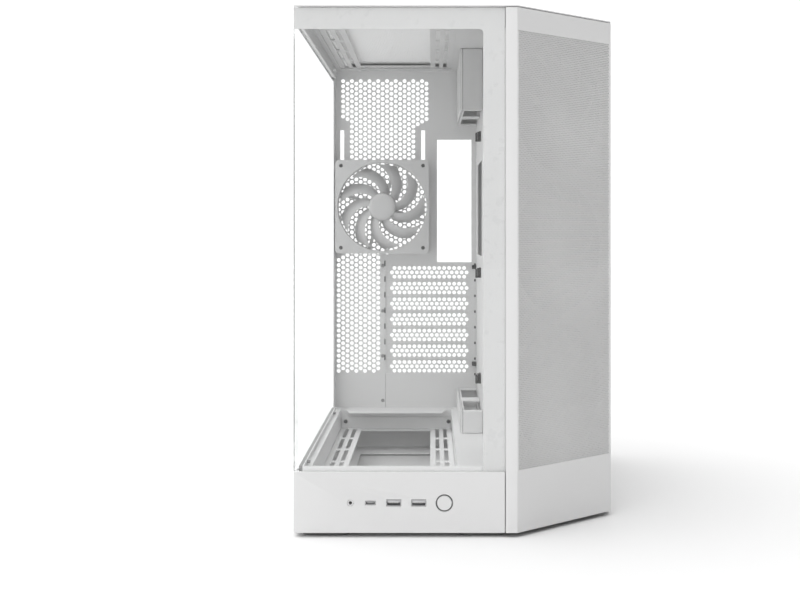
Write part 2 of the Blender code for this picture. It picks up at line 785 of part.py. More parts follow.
def blade_point(fan, share, chord):
    """A point of the blade's middle surface, from root to tip and from leading to trailing edge."""
    depth = fan["depth"]
    root, tip = fan["hub"] - blade_thickness, fan["opening"] - fan_tip_gap
    radius = root + (tip - root) * share
    angle = blade_sweep * share ** 1.3 + blade_span * (0.5 - chord) * (0.8 + 0.25 * share)
    curl = math.sin(math.pi * chord) * depth * 0.05
    along = depth * (-0.30 + 0.52 * chord) + curl
    return Vector((radius * math.cos(angle), along, radius * math.sin(angle)))


def make_rotor(name, fan):
    """The hub and its swept blades."""
    depth = fan["depth"]
    low, high = -depth * 0.46, depth / 2 - fan_strut_depth - 1.0 * mm
    hub = cylinders(name, [(0, (low + high) / 2, 0)], fan["hub"], high - low, (0, 1, 0), white_plastic)
    shares, chords = 3, 2
    bm = bmesh.new()
    for blade in range(blade_count):
        made = bmesh.ops.create_grid(bm, x_segments=shares, y_segments=chords, size=0.5)
        turn = Matrix.Rotation(-math.tau * blade / blade_count, 3, "Y")
        for vertex in made["verts"]:
            share, chord = vertex.co.x + 0.5, vertex.co.y + 0.5
            vertex.co = turn @ blade_point(fan, share, chord)
    mesh = bpy.data.meshes.new(name + "_blades")
    bm.to_mesh(mesh)
    bm.free()
    blades = add_object(name + "_blades", mesh, None)
    thicken = blades.modifiers.new("thickness", "SOLIDIFY")
    thicken.thickness = blade_thickness
    thicken.offset = 0
    join(hub, blades)
    return hub, [blades]


def make_fan(name, fan, centre, turn):
    """A fan whose empties sit on its spin axis, at its middle."""
    seat = joint_empty(name + "_axis", centre, turn)
    frame, frame_tools = make_fan_frame(name + "_frame", fan)
    rotor, rotor_tools = make_rotor(name + "_rotor", fan)
    follow([frame, rotor] + frame_tools + rotor_tools, seat)


def make_side_fan_bracket():
    """The plate that the three corner fans screw to, in the corner's own frame."""
    middle = joint_empty("corner_frame", corner_middle, corner_angle)
    half = side_fan["side"] / 2 - sheet
    low = (-half, side_fan_inset, floor_top + touch_gap)
    high = (half, side_fan_inset + sheet, top_peg_level() - peg_radius - sheet)
    plate = box("side_fan_bracket", low, high, steel)
    levels = [side_fan_centre(index).z for index in range(side_fan_count)]
    openings = cylinders("bracket_openings", [Vector((0, side_fan_inset, z)) for z in levels],
                         side_fan["opening"] - sheet, 4 * cut_extra, (0, 1, 0), steps=32)
    screws = [place for z in levels for place in fan_screw_places(side_fan, (0, side_fan_inset, z))]
    holes = cylinders("bracket_screw_holes", screws, fan_screw_radius, 4 * cut_extra, (0, 1, 0), steps=8)
    cut(plate, openings, holes)
    follow([plate, openings, holes], middle)


# ---------------------------------------------------------------- expansion slots

def make_slot_cover(index):
    """A blank plate behind one expansion slot, with a folded tab for its screw."""
    bottom = slots_bottom + slot_pitch * index + slot_web / 2
    top = bottom + slot_pitch - slot_web
    near = rear_y + sheet + touch_gap
    right = slots_right + slot_overlap
    blade = box("slot_cover_%d" % (index + 1), (slots_right - slots_length - slot_overlap, near, bottom),
                (right, near + sheet, top), steel)
    tab = box("slot_tab_%d" % (index + 1), (right - sheet, near + sheet / 2, bottom),
              (right, near + slot_tab_depth, top))
    return join(blade, tab)


def make_slot_ledge():
    """The outside ledge that the slot covers' tabs screw to."""
    near = rear_y + sheet + touch_gap
    left = slots_right + slot_overlap + touch_gap
    far = near + slot_tab_depth
    bottom, top = slots_bottom - slot_overlap, slots_top + slot_overlap
    path = [(left + 9 * sheet, near), (left, near), (left, far)]
    return prism("slot_ledge", thick_path(path[::-1], sheet), bottom, top, steel)


# ---------------------------------------------------------------- cable covers and hooks

def outlet_starts():
    """Where the cable outlets of the covers start, from front to back."""
    spare = cover_length - 2 * outlet_length - outlet_web
    first = rear_y - touch_gap - cover_length + spare / 2
    return [first, first + outlet_length + outlet_web]


def make_cable_cover(name, bottom, top, outlets_up):
    """A moulded box open towards the tray, with two cable outlets in its top or bottom face."""
    low_x, high_x = cover_x - cover_depth, cover_x
    near, far = rear_y - touch_gap - cover_length, rear_y - touch_gap
    left = rounded([(low_x, near), (high_x + 2 * cover_radius, near), (high_x + 2 * cover_radius, far),
                    (low_x, far)], cover_radius)
    shell = prism(name, [(min(x, high_x), y) for x, y in left], bottom, top, white_plastic)
    wall = moulded_wall
    hollow = box(name + "_hollow", (low_x + wall, near + wall, bottom + wall),
                 (high_x + cut_extra, far - wall, top - wall))
    level = top if outlets_up else bottom
    outlets = boxes(name + "_outlets", [((low_x + 2.5 * wall, start, level - cut_extra),
                                         (high_x + cut_extra, start + outlet_length, level + cut_extra))
                                        for start in outlet_starts()])
    return cut(shell, hollow, outlets)


def make_cable_hook(index, level):
    """A black hook on the tray that holds cables, open at its top."""
    width, height, length = hook_size
    wall = hook_wall
    left, right = cover_x - width, cover_x
    low, high = level - height / 2, level + height / 2
    outline = [(right, low), (right, high), (right - wall, high), (right - wall, low + wall),
               (left + wall, low + wall), (left + wall, high - wall), (left, high - wall), (left, low)]
    near = rear_y - hook_from_rear
    return prism("cable_hook_%d" % (index + 1), outline, near, near + length, black_plastic, upright=True)


# ---------------------------------------------------------------- power supply and drives

def make_psu_bracket():
    """The outside frame that a power supply screws to."""
    middle = (tray_x + sheet + chassis_right) / 2
    bottom = floor_top + psu_above_floor
    near = rear_y + sheet + touch_gap
    half, height = psu_face[0] / 2, psu_face[1]
    edge = psu_frame_width
    plate = box("psu_bracket", (middle - half - edge, near, bottom - edge),
                (middle + half + edge, near + sheet, bottom + height + edge), steel)
    hole = box("psu_hole", (middle - half, near - cut_extra, bottom),
               (middle + half, near + cut_extra, bottom + height))
    screws = [Vector((middle + x * (half + edge / 2), near, bottom + height * z))
              for x in (-1, 1) for z in (0.08, 0.92)]
    holes = cylinders("psu_screw_holes", screws, 1.8 * mm, 2 * cut_extra, (0, 1, 0), steps=10)
    return cut(plate, hole, holes)


def make_psu_shelf():
    """A folded shelf under the power supply, screwed to the floor."""
    top = floor_top + psu_above_floor - touch_gap
    near, far = rear_y - psu_shelf_length, rear_y - 2 * touch_gap
    left, right = tray_x + sheet + 2 * touch_gap, chassis_right - 3 * sheet
    foot = psu_shelf_foot
    low = floor_top + touch_gap
    profile = [(left + foot, low), (left, low), (left, top), (right, top), (right, low), (right - foot, low)]
    outline = thick_path(profile[::-1], sheet)
    return prism("psu_shelf", outline, near, far, steel, upright=True)


def drive_bottom():
    return floor_top + psu_above_floor + psu_face[1] + drive_above_psu


def make_drive_cage():
    """A three-sided cage for the drive trays, open towards the right panel."""
    width, length, height = drive_size
    left = tray_x + sheet + touch_gap
    far = rear_y - drive_cage_from_rear
    near = far - length - 2 * sheet - 4 * touch_gap
    bottom = drive_bottom()
    top = bottom + drive_count * (height + drive_gap) + drive_gap
    cage = box("drive_cage", (left, near, bottom), (left + width + sheet, far, top), steel)
    hollow = box("drive_hollow", (left + sheet, near + sheet, bottom + sheet),
                 (left + width + cut_extra, far - sheet, top - sheet))
    lightening = boxes("drive_side_holes",
                       [((left + width * 0.25, near - cut_extra, bottom + height * 0.4),
                         (left + width * 0.8, far + cut_extra, top - height * 0.4))])
    return cut(cage, hollow, lightening)


def make_drive_tray(index):
    """A plastic sled for one drive, in the cage."""
    width, length, height = drive_size
    left = tray_x + 2 * sheet + 3 * touch_gap
    far = rear_y - drive_cage_from_rear - sheet - 2 * touch_gap
    bottom = drive_bottom() + sheet + touch_gap + index * (height + drive_gap) + drive_gap / 2
    low = (left, far - length, bottom)
    high = (left + width - 3 * touch_gap, far, bottom + height)
    sled = box("drive_tray_%d" % (index + 1), low, high, black_plastic)
    wall = moulded_wall
    hollow = box("drive_tray_hollow_%d" % (index + 1), (low[0] - cut_extra, low[1] + wall, bottom + wall),
                 (high[0] - wall, high[1] - wall, high[2] + cut_extra))
    return cut(sled, hollow)


def make_ssd_plate():
    """A flat drive bracket hooked on the tray's back, in front of the processor window."""
    depth, length, height = ssd_size
    left = tray_x + sheet + touch_gap
    windows_end = partition_y + cable_window_from_partition + cable_window_size[0]
    far = windows_end + cpu_window_from_cables - 4 * sheet
    bottom = floor_top + cable_window_heights[0]
    plate = box("ssd_plate", (left, far - length, bottom), (left + depth, far, bottom + height), steel)
    hollow = box("ssd_hollow", (left - cut_extra, far - length - cut_extra, bottom + 2 * sheet),
                 (left + depth - sheet, far + cut_extra, bottom + height - 2 * sheet))
    return cut(plate, hollow)


# ---------------------------------------------------------------- front connectors

def port_place(from_left):
    return left_side + from_left


def connector_holes(name, near, far, clearance, ring=True):
    """Cutters through a wall for the jack, the three sockets and the button, as two meshes."""
    z = connector_height
    corners = []
    sockets = [(usb_c_from_left, usb_c_size)] + [(x, usb_a_size) for x in usb_a_from_left]
    for from_left, (width, height) in sockets:
        x = port_place(from_left)
        corners.append(((x - width / 2 - clearance, near, z - height / 2 - clearance),
                        (x + width / 2 + clearance, far, z + height / 2 + clearance)))
    middle = (near + far) / 2
    jack = cylinders(name + "_jack", [Vector((port_place(audio_from_left), middle, z))],
                     audio_radius + clearance, far - near, (0, 1, 0), steps=20)
    button_hole = (ring_outer_radius if ring else button_radius) + clearance
    button = cylinders(name + "_button", [Vector((port_place(button_from_left), middle, z))],
                       button_hole, far - near, (0, 1, 0), steps=40)
    return boxes(name + "_sockets", corners), jack, button


def make_front_fascia():
    """The front skirt cover, a shallow open-backed shell with the connector holes."""
    far = chassis_front - touch_gap
    fascia = box("front_fascia", (left_side, front_side, skirt_bottom),
                 (glass_right, far, floor_top + touch_gap), white_plastic)
    wall = fascia_wall
    hollow = box("fascia_hollow", (left_side + wall, front_side + wall, skirt_bottom + wall),
                 (glass_right - wall, far + cut_extra, floor_top + touch_gap - wall))
    return cut(fascia, hollow, *connector_holes("fascia", front_side - cut_extra, front_side + cut_extra / 2,
                                                port_clearance))


def make_io_carrier():
    """The plate behind the fascia that locates the connectors."""
    near = front_side + fascia_wall + touch_gap
    far = near + carrier_thickness
    margin = 2 * carrier_margin
    plate = box("io_carrier", (port_place(audio_from_left) - margin, near, connector_height - margin),
                (port_place(button_from_left) + margin, far, connector_height + margin), black_plastic)
    return cut(plate, *connector_holes("carrier", near - cut_extra, far + cut_extra, port_clearance))


def make_io_board():
    """The circuit board under the connectors, behind the button's stroke."""
    near = front_side + button_depth + button_travel + touch_gap
    top = connector_height - usb_a_size[1] / 2 - touch_gap
    margin = carrier_margin
    return box("io_board", (port_place(audio_from_left) - margin, near, top - board_thickness),
               (port_place(button_from_left) + margin, near + port_depth + margin, top), green_board)


def make_socket(name, from_left, size, tongue):
    """A metal socket shell with its contact tongue, closed at the back."""
    width, height = size
    x, z = port_place(from_left), connector_height
    near, far = front_side + touch_gap, front_side + port_depth
    wall = port_wall
    shell = box(name, (x - width / 2, near, z - height / 2), (x + width / 2, far, z + height / 2), port_metal)
    mouth = box(name + "_mouth", (x - width / 2 + wall, near - cut_extra, z - height / 2 + wall),
                (x + width / 2 - wall, far - 2 * wall, z + height / 2 - wall))
    cut(shell, mouth)
    low, high, side = tongue
    blade = box(name + "_tongue", (x - width * side, near + 2 * wall, z + low),
                (x + width * side, far - wall, z + high))
    return join(shell, blade)


def make_audio_jack():
    near, far = front_side + touch_gap, front_side + port_depth
    x, z = port_place(audio_from_left), connector_height
    body = cylinders("audio_jack", [Vector((x, (near + far) / 2, z))], audio_radius, far - near, (0, 1, 0),
                     white_plastic, steps=20)
    bore = cylinders("jack_bore", [Vector((x, near, z))], audio_bore, 2 * (port_depth - 2 * mm), (0, 1, 0),
                     steps=16)
    return cut(body, bore)


def make_power_button():
    """The round button on its press axis, and the light ring around it."""
    depth = button_depth
    axis = joint_empty("power_button_axis", (port_place(button_from_left), front_side, connector_height))
    cap = cylinders("power_button", [(0, depth / 2, 0)], button_radius, depth, (0, 1, 0), white_plastic,
                    steps=40)
    ring = cylinders("button_light_ring", [(0, (depth + ring_inset) / 2, 0)], ring_outer_radius,
                     depth - ring_inset, (0, 1, 0), clear_plastic, steps=40)
    bore = cylinders("ring_bore", [(0, depth / 2, 0)], ring_outer_radius - ring_wall, 3 * depth, (0, 1, 0),
                     steps=40)
    cut(ring, bore)
    follow([cap, ring, bore], axis)


# ---------------------------------------------------------------- feet and filter

def make_feet():
    """Four rubber feet under the base plate."""
    across, along = foot_inset
    plan = chassis_plan(left=0.0)
    right = plan[3][0] - across
    left = plan[0][0] + across
    rear = plan[3][1] - along
    front = plan[0][1] + along / 2
    front_right = plan[1][0] - across
    places = [(left, front), (front_right, front), (left, rear), (right, rear)]
    half_x, half_y = foot_size[0] / 2, foot_size[1] / 2
    for index, (x, y) in enumerate(places):
        outline = rounded(rectangle(x - half_x, y - half_y, x + half_x, y + half_y), half_y * 0.8, 4)
        prism("foot_%d" % (index + 1), outline, 0, foot_height - touch_gap, rubber)


def filter_ends():
    """Where the filter starts and ends along Y: a rim past each end of the base plate's vent."""
    rim = filter_rim + filter_overlap
    return bay_front + bay_end_margin - rim, bay_back - bay_lip + rim


def make_bottom_filter():
    """The dust filter under the base plate, with the strip that closes the left skirt."""
    near, far = filter_ends()
    right = bay_x + centre_opening / 2 + 3 * filter_rim
    top = foot_height - touch_gap
    bottom = top - filter_thickness
    tray = box("bottom_filter", (left_side + sheet, near, bottom), (right, far, top), grey_plastic)
    strip = box("filter_strip", (left_side, near, skirt_bottom),
                (left_side + 2 * sheet, far, top - touch_gap / 3))
    reach = centre_opening / 2 + filter_rim
    pocket = box("filter_pocket", (bay_x - reach, near + filter_rim, bottom + filter_membrane),
                 (bay_x + reach, far - filter_rim, top + cut_extra))
    join(tray, strip)
    return cut(tray, pocket)


# ---------------------------------------------------------------- assembly

clear_scene()
parts = new_collection("computer_case")
cutters = new_collection("cutters")
steel = new_material("white_powder_coat", (0.86, 0.86, 0.86), 0.45)
glass = new_material("tempered_glass", (0.93, 0.95, 0.95), 0.03, alpha=0.25)
white_plastic = new_material("white_plastic", (0.82, 0.82, 0.82), 0.5)
black_plastic = new_material("black_plastic", (0.03, 0.03, 0.03), 0.55)
grey_plastic = new_material("grey_filter_plastic", (0.55, 0.55, 0.55), 0.6)
clear_plastic = new_material("light_ring_plastic", (0.35, 0.35, 0.36), 0.35)
port_metal = new_material("port_metal", (0.55, 0.56, 0.58), 0.3, metallic=1.0)
green_board = new_material("circuit_board", (0.03, 0.10, 0.05), 0.5)
rubber = new_material("grey_rubber", (0.45, 0.45, 0.45), 0.8)

make_base_pan()
make_floor_pan()
make_top_frame()
make_rear_wall()
make_motherboard_tray()
make_front_post()
make_bottom_fan_tray()
make_top_fan_bracket()
make_side_fan_bracket()
make_front_glass()
make_left_glass()
make_corner_panel()
make_right_panel()
make_top_panel()
make_top_panel_frame()
make_fan("rear_fan", rear_fan, rear_fan_centre(), 0.0)
for fan_index in range(side_fan_count):
    make_fan("side_fan_%d" % (fan_index + 1), side_fan, side_fan_centre(fan_index), corner_angle)
for slot_index in range(slot_count):
    make_slot_cover(slot_index)
make_slot_ledge()
cover_high = ceiling - touch_gap
cover_low = floor_top + touch_gap
make_cable_cover("cable_cover_top", cover_high - cover_top_height, cover_high, False)
make_cable_cover("cable_cover_bottom", cover_low, cover_low + cover_bottom_height, True)
for hook_index, hook_level in enumerate(hook_heights):
    make_cable_hook(hook_index, hook_level)
make_psu_bracket()
make_psu_shelf()
make_drive_cage()
for tray_index in range(drive_count):
    make_drive_tray(tray_index)
make_ssd_plate()
make_front_fascia()
make_io_carrier()
make_io_board()
make_audio_jack()
make_socket("usb_c_port", usb_c_from_left, usb_c_size, (-0.35 * mm, 0.35 * mm, 0.34))
for port_index, port_from_left in enumerate(usb_a_from_left):
    make_socket("usb_a_port_%d" % (port_index + 1), port_from_left, usb_a_size, (0.3 * mm, 2.1 * mm, 0.42))
make_power_button()
make_feet()
make_bottom_filter()
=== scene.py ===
import json
import math

import bmesh
import bpy
from mathutils import Matrix, Vector


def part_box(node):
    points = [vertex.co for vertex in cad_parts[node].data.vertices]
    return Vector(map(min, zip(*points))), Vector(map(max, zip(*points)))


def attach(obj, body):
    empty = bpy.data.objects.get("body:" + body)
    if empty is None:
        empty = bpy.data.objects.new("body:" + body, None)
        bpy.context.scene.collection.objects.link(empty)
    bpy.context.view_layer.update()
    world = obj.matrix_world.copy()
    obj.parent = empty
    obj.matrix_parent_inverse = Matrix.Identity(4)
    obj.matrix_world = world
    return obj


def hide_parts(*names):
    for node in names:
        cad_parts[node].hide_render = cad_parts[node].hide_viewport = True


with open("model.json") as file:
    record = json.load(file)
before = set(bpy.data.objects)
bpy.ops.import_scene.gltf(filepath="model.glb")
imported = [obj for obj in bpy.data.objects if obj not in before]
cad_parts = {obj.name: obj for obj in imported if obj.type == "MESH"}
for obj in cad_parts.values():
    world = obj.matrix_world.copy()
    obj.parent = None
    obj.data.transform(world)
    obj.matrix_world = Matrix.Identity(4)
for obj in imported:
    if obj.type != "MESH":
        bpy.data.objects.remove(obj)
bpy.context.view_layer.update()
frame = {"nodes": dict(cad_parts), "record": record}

nodes = frame["nodes"]
record = frame["record"]
joints = {joint["name"]: joint for joint in record["behaviour"]["joints"]}
bodyOf = {node: body for body, members in record["behaviour"]["bodies"].items() for node in members}
slotOf = {part["node"]: part["material_slot"] for part in record["subparts"]}
mm = 0.001
halfTurn = math.pi


def newTree(name, kind, takes, gives):              # takes and gives: label, socket type, default value
    tree = bpy.data.node_groups.new(name, kind)
    for way, sockets in (("INPUT", takes), ("OUTPUT", gives)):
        for label, socketType, value in sockets:
            socket = tree.interface.new_socket(label, in_out=way, socket_type=socketType)
            if value is not None:
                socket.default_value = value
    return tree, tree.nodes.new("NodeGroupInput"), tree.nodes.new("NodeGroupOutput")


def addNode(tree, kind, settings=None, values=None):
    node = tree.nodes.new(kind)
    for label, value in (settings or {}).items():
        setattr(node, label, value)
    for label, value in (values or {}).items():
        node.inputs[label].default_value = value
    return node


def noiseNode(tree, scale, detail=3.0, roughness=0.5):
    return addNode(tree, "ShaderNodeTexNoise", None,
                   {"Scale": scale, "Detail": detail, "Roughness": roughness})


def shareNode(tree, low, high, outLow, outHigh):    # moves a value from one range to another
    return addNode(tree, "ShaderNodeMapRange", None,
                   {"From Min": low, "From Max": high, "To Min": outLow, "To Max": outHigh})


def coatingGroup():                                 # fine grain, broad unevenness and a little settled dust
    tree, start, end = newTree("coatingGrain", "ShaderNodeTree", [
        ("Place", "NodeSocketVector", None), ("Tone", "NodeSocketColor", (0.8, 0.8, 0.8, 1.0)),
        ("Roughness", "NodeSocketFloat", 0.45), ("Grain Size", "NodeSocketFloat", 900.0),
        ("Unevenness", "NodeSocketFloat", 0.03), ("Dust", "NodeSocketFloat", 0.02)], [
        ("Color", "NodeSocketColor", None), ("Roughness", "NodeSocketFloat", None),
        ("Height", "NodeSocketFloat", None)])
    link = tree.links.new
    fine = noiseNode(tree, 900.0, 2.0)
    broad = noiseNode(tree, 9.0, 4.0)
    middle = noiseNode(tree, 120.0, 3.0, 0.6)
    for noise in (fine, broad, middle):
        link(start.outputs["Place"], noise.inputs["Vector"])
    link(start.outputs["Grain Size"], fine.inputs["Scale"])
    centred = addNode(tree, "ShaderNodeMath", {"operation": "SUBTRACT"})
    centred.inputs[1].default_value = 0.5
    link(broad.outputs["Fac"], centred.inputs[0])
    drift = addNode(tree, "ShaderNodeMath", {"operation": "MULTIPLY_ADD"})
    drift.inputs[2].default_value = 1.0
    link(centred.outputs[0], drift.inputs[0])
    link(start.outputs["Unevenness"], drift.inputs[1])
    toned = addNode(tree, "ShaderNodeVectorMath", {"operation": "SCALE"})
    link(start.outputs["Tone"], toned.inputs[0])
    link(drift.outputs[0], toned.inputs["Scale"])
    specks = shareNode(tree, 0.62, 0.80, 0.0, 1.0)
    link(middle.outputs["Fac"], specks.inputs["Value"])
    dusty = addNode(tree, "ShaderNodeMath", {"operation": "MULTIPLY"})
    link(specks.outputs["Result"], dusty.inputs[0])
    link(start.outputs["Dust"], dusty.inputs[1])
    mixed = addNode(tree, "ShaderNodeMix", {"data_type": "RGBA"})
    mixed.inputs["B"].default_value = (0.55, 0.54, 0.52, 1.0)
    link(dusty.outputs[0], mixed.inputs["Factor"])
    link(toned.outputs["Vector"], mixed.inputs["A"])
    link(mixed.outputs["Result"], end.inputs["Color"])
    spread = shareNode(tree, 0.3, 0.7, -0.05, 0.05)
    link(middle.outputs["Fac"], spread.inputs["Value"])
    rough = addNode(tree, "ShaderNodeMath", {"operation": "ADD", "use_clamp": True})
    link(start.outputs["Roughness"], rough.inputs[0])
    link(spread.outputs["Result"], rough.inputs[1])
    link(rough.outputs[0], end.inputs["Roughness"])
    link(fine.outputs["Fac"], end.inputs["Height"])
    return tree


def weaveGroup():                                   # crossing threads, for the dust filter's cloth
    tree, start, end = newTree("filterWeave", "ShaderNodeTree", [
        ("Place", "NodeSocketVector", None), ("Tone", "NodeSocketColor", (0.5, 0.5, 0.5, 1.0)),
        ("Threads", "NodeSocketFloat", 620.0)], [
        ("Color", "NodeSocketColor", None), ("Height", "NodeSocketFloat", None)])
    link = tree.links.new
    waves = []
    for direction in ("X", "Y"):
        wave = addNode(tree, "ShaderNodeTexWave", {"bands_direction": direction}, {"Distortion": 0.2})
        link(start.outputs["Place"], wave.inputs["Vector"])
        link(start.outputs["Threads"], wave.inputs["Scale"])
        waves.append(wave)
    both = addNode(tree, "ShaderNodeMath", {"operation": "MAXIMUM"})
    for index, wave in enumerate(waves):
        link(wave.outputs["Fac"], both.inputs[index])
    shade = shareNode(tree, 0.0, 1.0, 0.55, 1.05)
    link(both.outputs[0], shade.inputs["Value"])
    toned = addNode(tree, "ShaderNodeVectorMath", {"operation": "SCALE"})
    link(start.outputs["Tone"], toned.inputs[0])
    link(shade.outputs["Result"], toned.inputs["Scale"])
    link(toned.outputs["Vector"], end.inputs["Color"])
    link(both.outputs[0], end.inputs["Height"])
    return tree


def traceGroup():                                   # copper lines under the solder mask of a circuit board
    tree, start, end = newTree("boardTraces", "ShaderNodeTree", [
        ("Place", "NodeSocketVector", None), ("Tone", "NodeSocketColor", (0.03, 0.1, 0.05, 1.0))], [
        ("Color", "NodeSocketColor", None), ("Height", "NodeSocketFloat", None)])
    link = tree.links.new
    cells = addNode(tree, "ShaderNodeTexBrick", None, {
        "Scale": 160.0, "Mortar Size": 0.06, "Color1": (0.0, 0.0, 0.0, 1.0), "Color2": (0.0, 0.0, 0.0, 1.0),
        "Mortar": (1.0, 1.0, 1.0, 1.0)})
    link(start.outputs["Place"], cells.inputs["Vector"])
    mixed = addNode(tree, "ShaderNodeMix", {"data_type": "RGBA"})
    mixed.inputs["B"].default_value = (0.08, 0.24, 0.12, 1.0)
    link(cells.outputs["Color"], mixed.inputs["Factor"])
    link(start.outputs["Tone"], mixed.inputs["A"])
    link(mixed.outputs["Result"], end.inputs["Color"])
    link(cells.outputs["Color"], end.inputs["Height"])
    return tree


coating = coatingGroup()
weave = weaveGroup()
traces = traceGroup()


def newFinish(name, values):                        # a Principled material, its looks from one group
    finish = bpy.data.materials.new(name)
    finish.use_nodes = True
    tree = finish.node_tree
    shader = tree.nodes["Principled BSDF"]
    place = tree.nodes.new("ShaderNodeTexCoord")
    effect = tree.nodes.new("ShaderNodeGroup")
    effect.node_tree = values.get("effect", coating)
    effect.inputs["Tone"].default_value = (*values["tone"], 1.0)
    for label, value in values.get("effectValues", {}).items():
        effect.inputs[label].default_value = value
    bump = addNode(tree, "ShaderNodeBump", None, {"Strength": values.get("relief", 0.2), "Distance": 0.0001})
    link = tree.links.new
    link(place.outputs["Object"], effect.inputs["Place"])
    link(effect.outputs["Color"], shader.inputs["Base Color"])
    link(effect.outputs["Height"], bump.inputs["Height"])
    link(bump.outputs["Normal"], shader.inputs["Normal"])
    shader.inputs["Roughness"].default_value = values["roughness"]
    if "Roughness" in effect.outputs:
        effect.inputs["Roughness"].default_value = values["roughness"]
        link(effect.outputs["Roughness"], shader.inputs["Roughness"])
    shader.inputs["Metallic"].default_value = values.get("metallic", 0.0)
    shader.inputs["Specular IOR Level"].default_value = values.get("specular", 0.5)
    return finish


def newGlass(name, values):                         # clear to the light inside, refracting to the eye
    finish = newFinish(name, values)
    tree = finish.node_tree
    shader = tree.nodes["Principled BSDF"]
    shader.inputs["Transmission Weight"].default_value = 1.0
    shader.inputs["IOR"].default_value = values["ior"]
    rays = tree.nodes.new("ShaderNodeLightPath")
    soft = addNode(tree, "ShaderNodeMath", {"operation": "MAXIMUM"})
    through = tree.nodes.new("ShaderNodeBsdfTransparent")
    mix = tree.nodes.new("ShaderNodeMixShader")
    link = tree.links.new
    link(rays.outputs["Is Shadow Ray"], soft.inputs[0])
    link(rays.outputs["Is Diffuse Ray"], soft.inputs[1])
    link(soft.outputs[0], mix.inputs["Fac"])
    link(shader.outputs["BSDF"], mix.inputs[1])
    link(through.outputs["BSDF"], mix.inputs[2])
    link(mix.outputs["Shader"], tree.nodes["Material Output"].inputs["Surface"])
    return finish


finishes = {
    "white_powder_coat": newFinish("whitePowderCoat", {"tone": (0.79, 0.79, 0.79), "roughness": 0.46}),
    "white_plastic": newFinish("whiteMoulding", {
        "tone": (0.77, 0.77, 0.77), "roughness": 0.52, "relief": 0.12}),
    "black_plastic": newFinish("blackMoulding", {"tone": (0.018, 0.018, 0.018), "roughness": 0.5}),
    "grey_filter_plastic": newFinish("filterCloth", {
        "tone": (0.70, 0.70, 0.70), "roughness": 0.7, "effect": weave, "relief": 0.6}),
    "light_ring_plastic": newFinish("ringMoulding", {"tone": (0.13, 0.13, 0.135), "roughness": 0.35}),
    "port_metal": newFinish("platedShell", {
        "tone": (0.62, 0.62, 0.63), "roughness": 0.38, "metallic": 1.0,
        "effectValues": {"Unevenness": 0.15, "Grain Size": 2600.0}}),
    "circuit_board": newFinish("greenBoard", {
        "tone": (0.03, 0.10, 0.05), "roughness": 0.42, "effect": traces}),
    "grey_rubber": newFinish("padRubber", {
        "tone": (0.20, 0.20, 0.20), "roughness": 0.85, "effectValues": {"Dust": 0.1}}),
}
clearPane = {"tone": (0.985, 0.992, 0.99), "roughness": 0.0, "relief": 0.0,
             "effectValues": {"Unevenness": 0.004, "Dust": 0.0}}
finishes["tempered_glass"] = newGlass("clearGlass", {**clearPane, "ior": 1.45})
sideGlass = newGlass("clearSideGlass", {**clearPane, "ior": 1.004})     # low, so its edge stays pale end-on
enamel = newFinish("whiteEnamel", {"tone": (0.69, 0.69, 0.69), "roughness": 0.3, "relief": 0.05})
# painted shade: a duller white than the outer sheets, for the rear wall, slot covers, webs and motherboard
# tray, where less light reaches
innerCoatPaintedShade = newFinish("innerCoatPaintedShade", {"tone": (0.70, 0.70, 0.70), "roughness": 0.5})
# painted shade: darker still, for the top frame, top fan bracket and upper cable cover, where the interior
# under the top is dimmest
upperCoatPaintedShade = newFinish("upperCoatPaintedShade", {"tone": (0.56, 0.56, 0.56), "roughness": 0.55})
# dark grey: on the bottom left glass rail it is painted shade over white steel; the wall rivets and the seam
# line also wear it
greyTrimAndPaintedShade = newFinish("greyTrimAndPaintedShade", {"tone": (0.30, 0.30, 0.30), "roughness": 0.6})
fanMoulding = newFinish("fanMoulding", {"tone": (0.60, 0.60, 0.60), "roughness": 0.5, "relief": 0.1})
# painted shade: near black, standing in for the shadow inside holes, slots and openings; the tray screw heads
# also wear it
paintedRecessShade = newFinish("paintedRecessShade", {"tone": (0.07, 0.07, 0.07), "roughness": 0.8})
screwSteel = newFinish("screwSteel", {
    "tone": (0.62, 0.62, 0.62), "roughness": 0.36, "metallic": 0.6, "effectValues": {"Unevenness": 0.1}})
contactPlate = newFinish("contactPlating", {"tone": (0.76, 0.75, 0.72), "roughness": 0.35, "metallic": 1.0})
print("scene: materials")


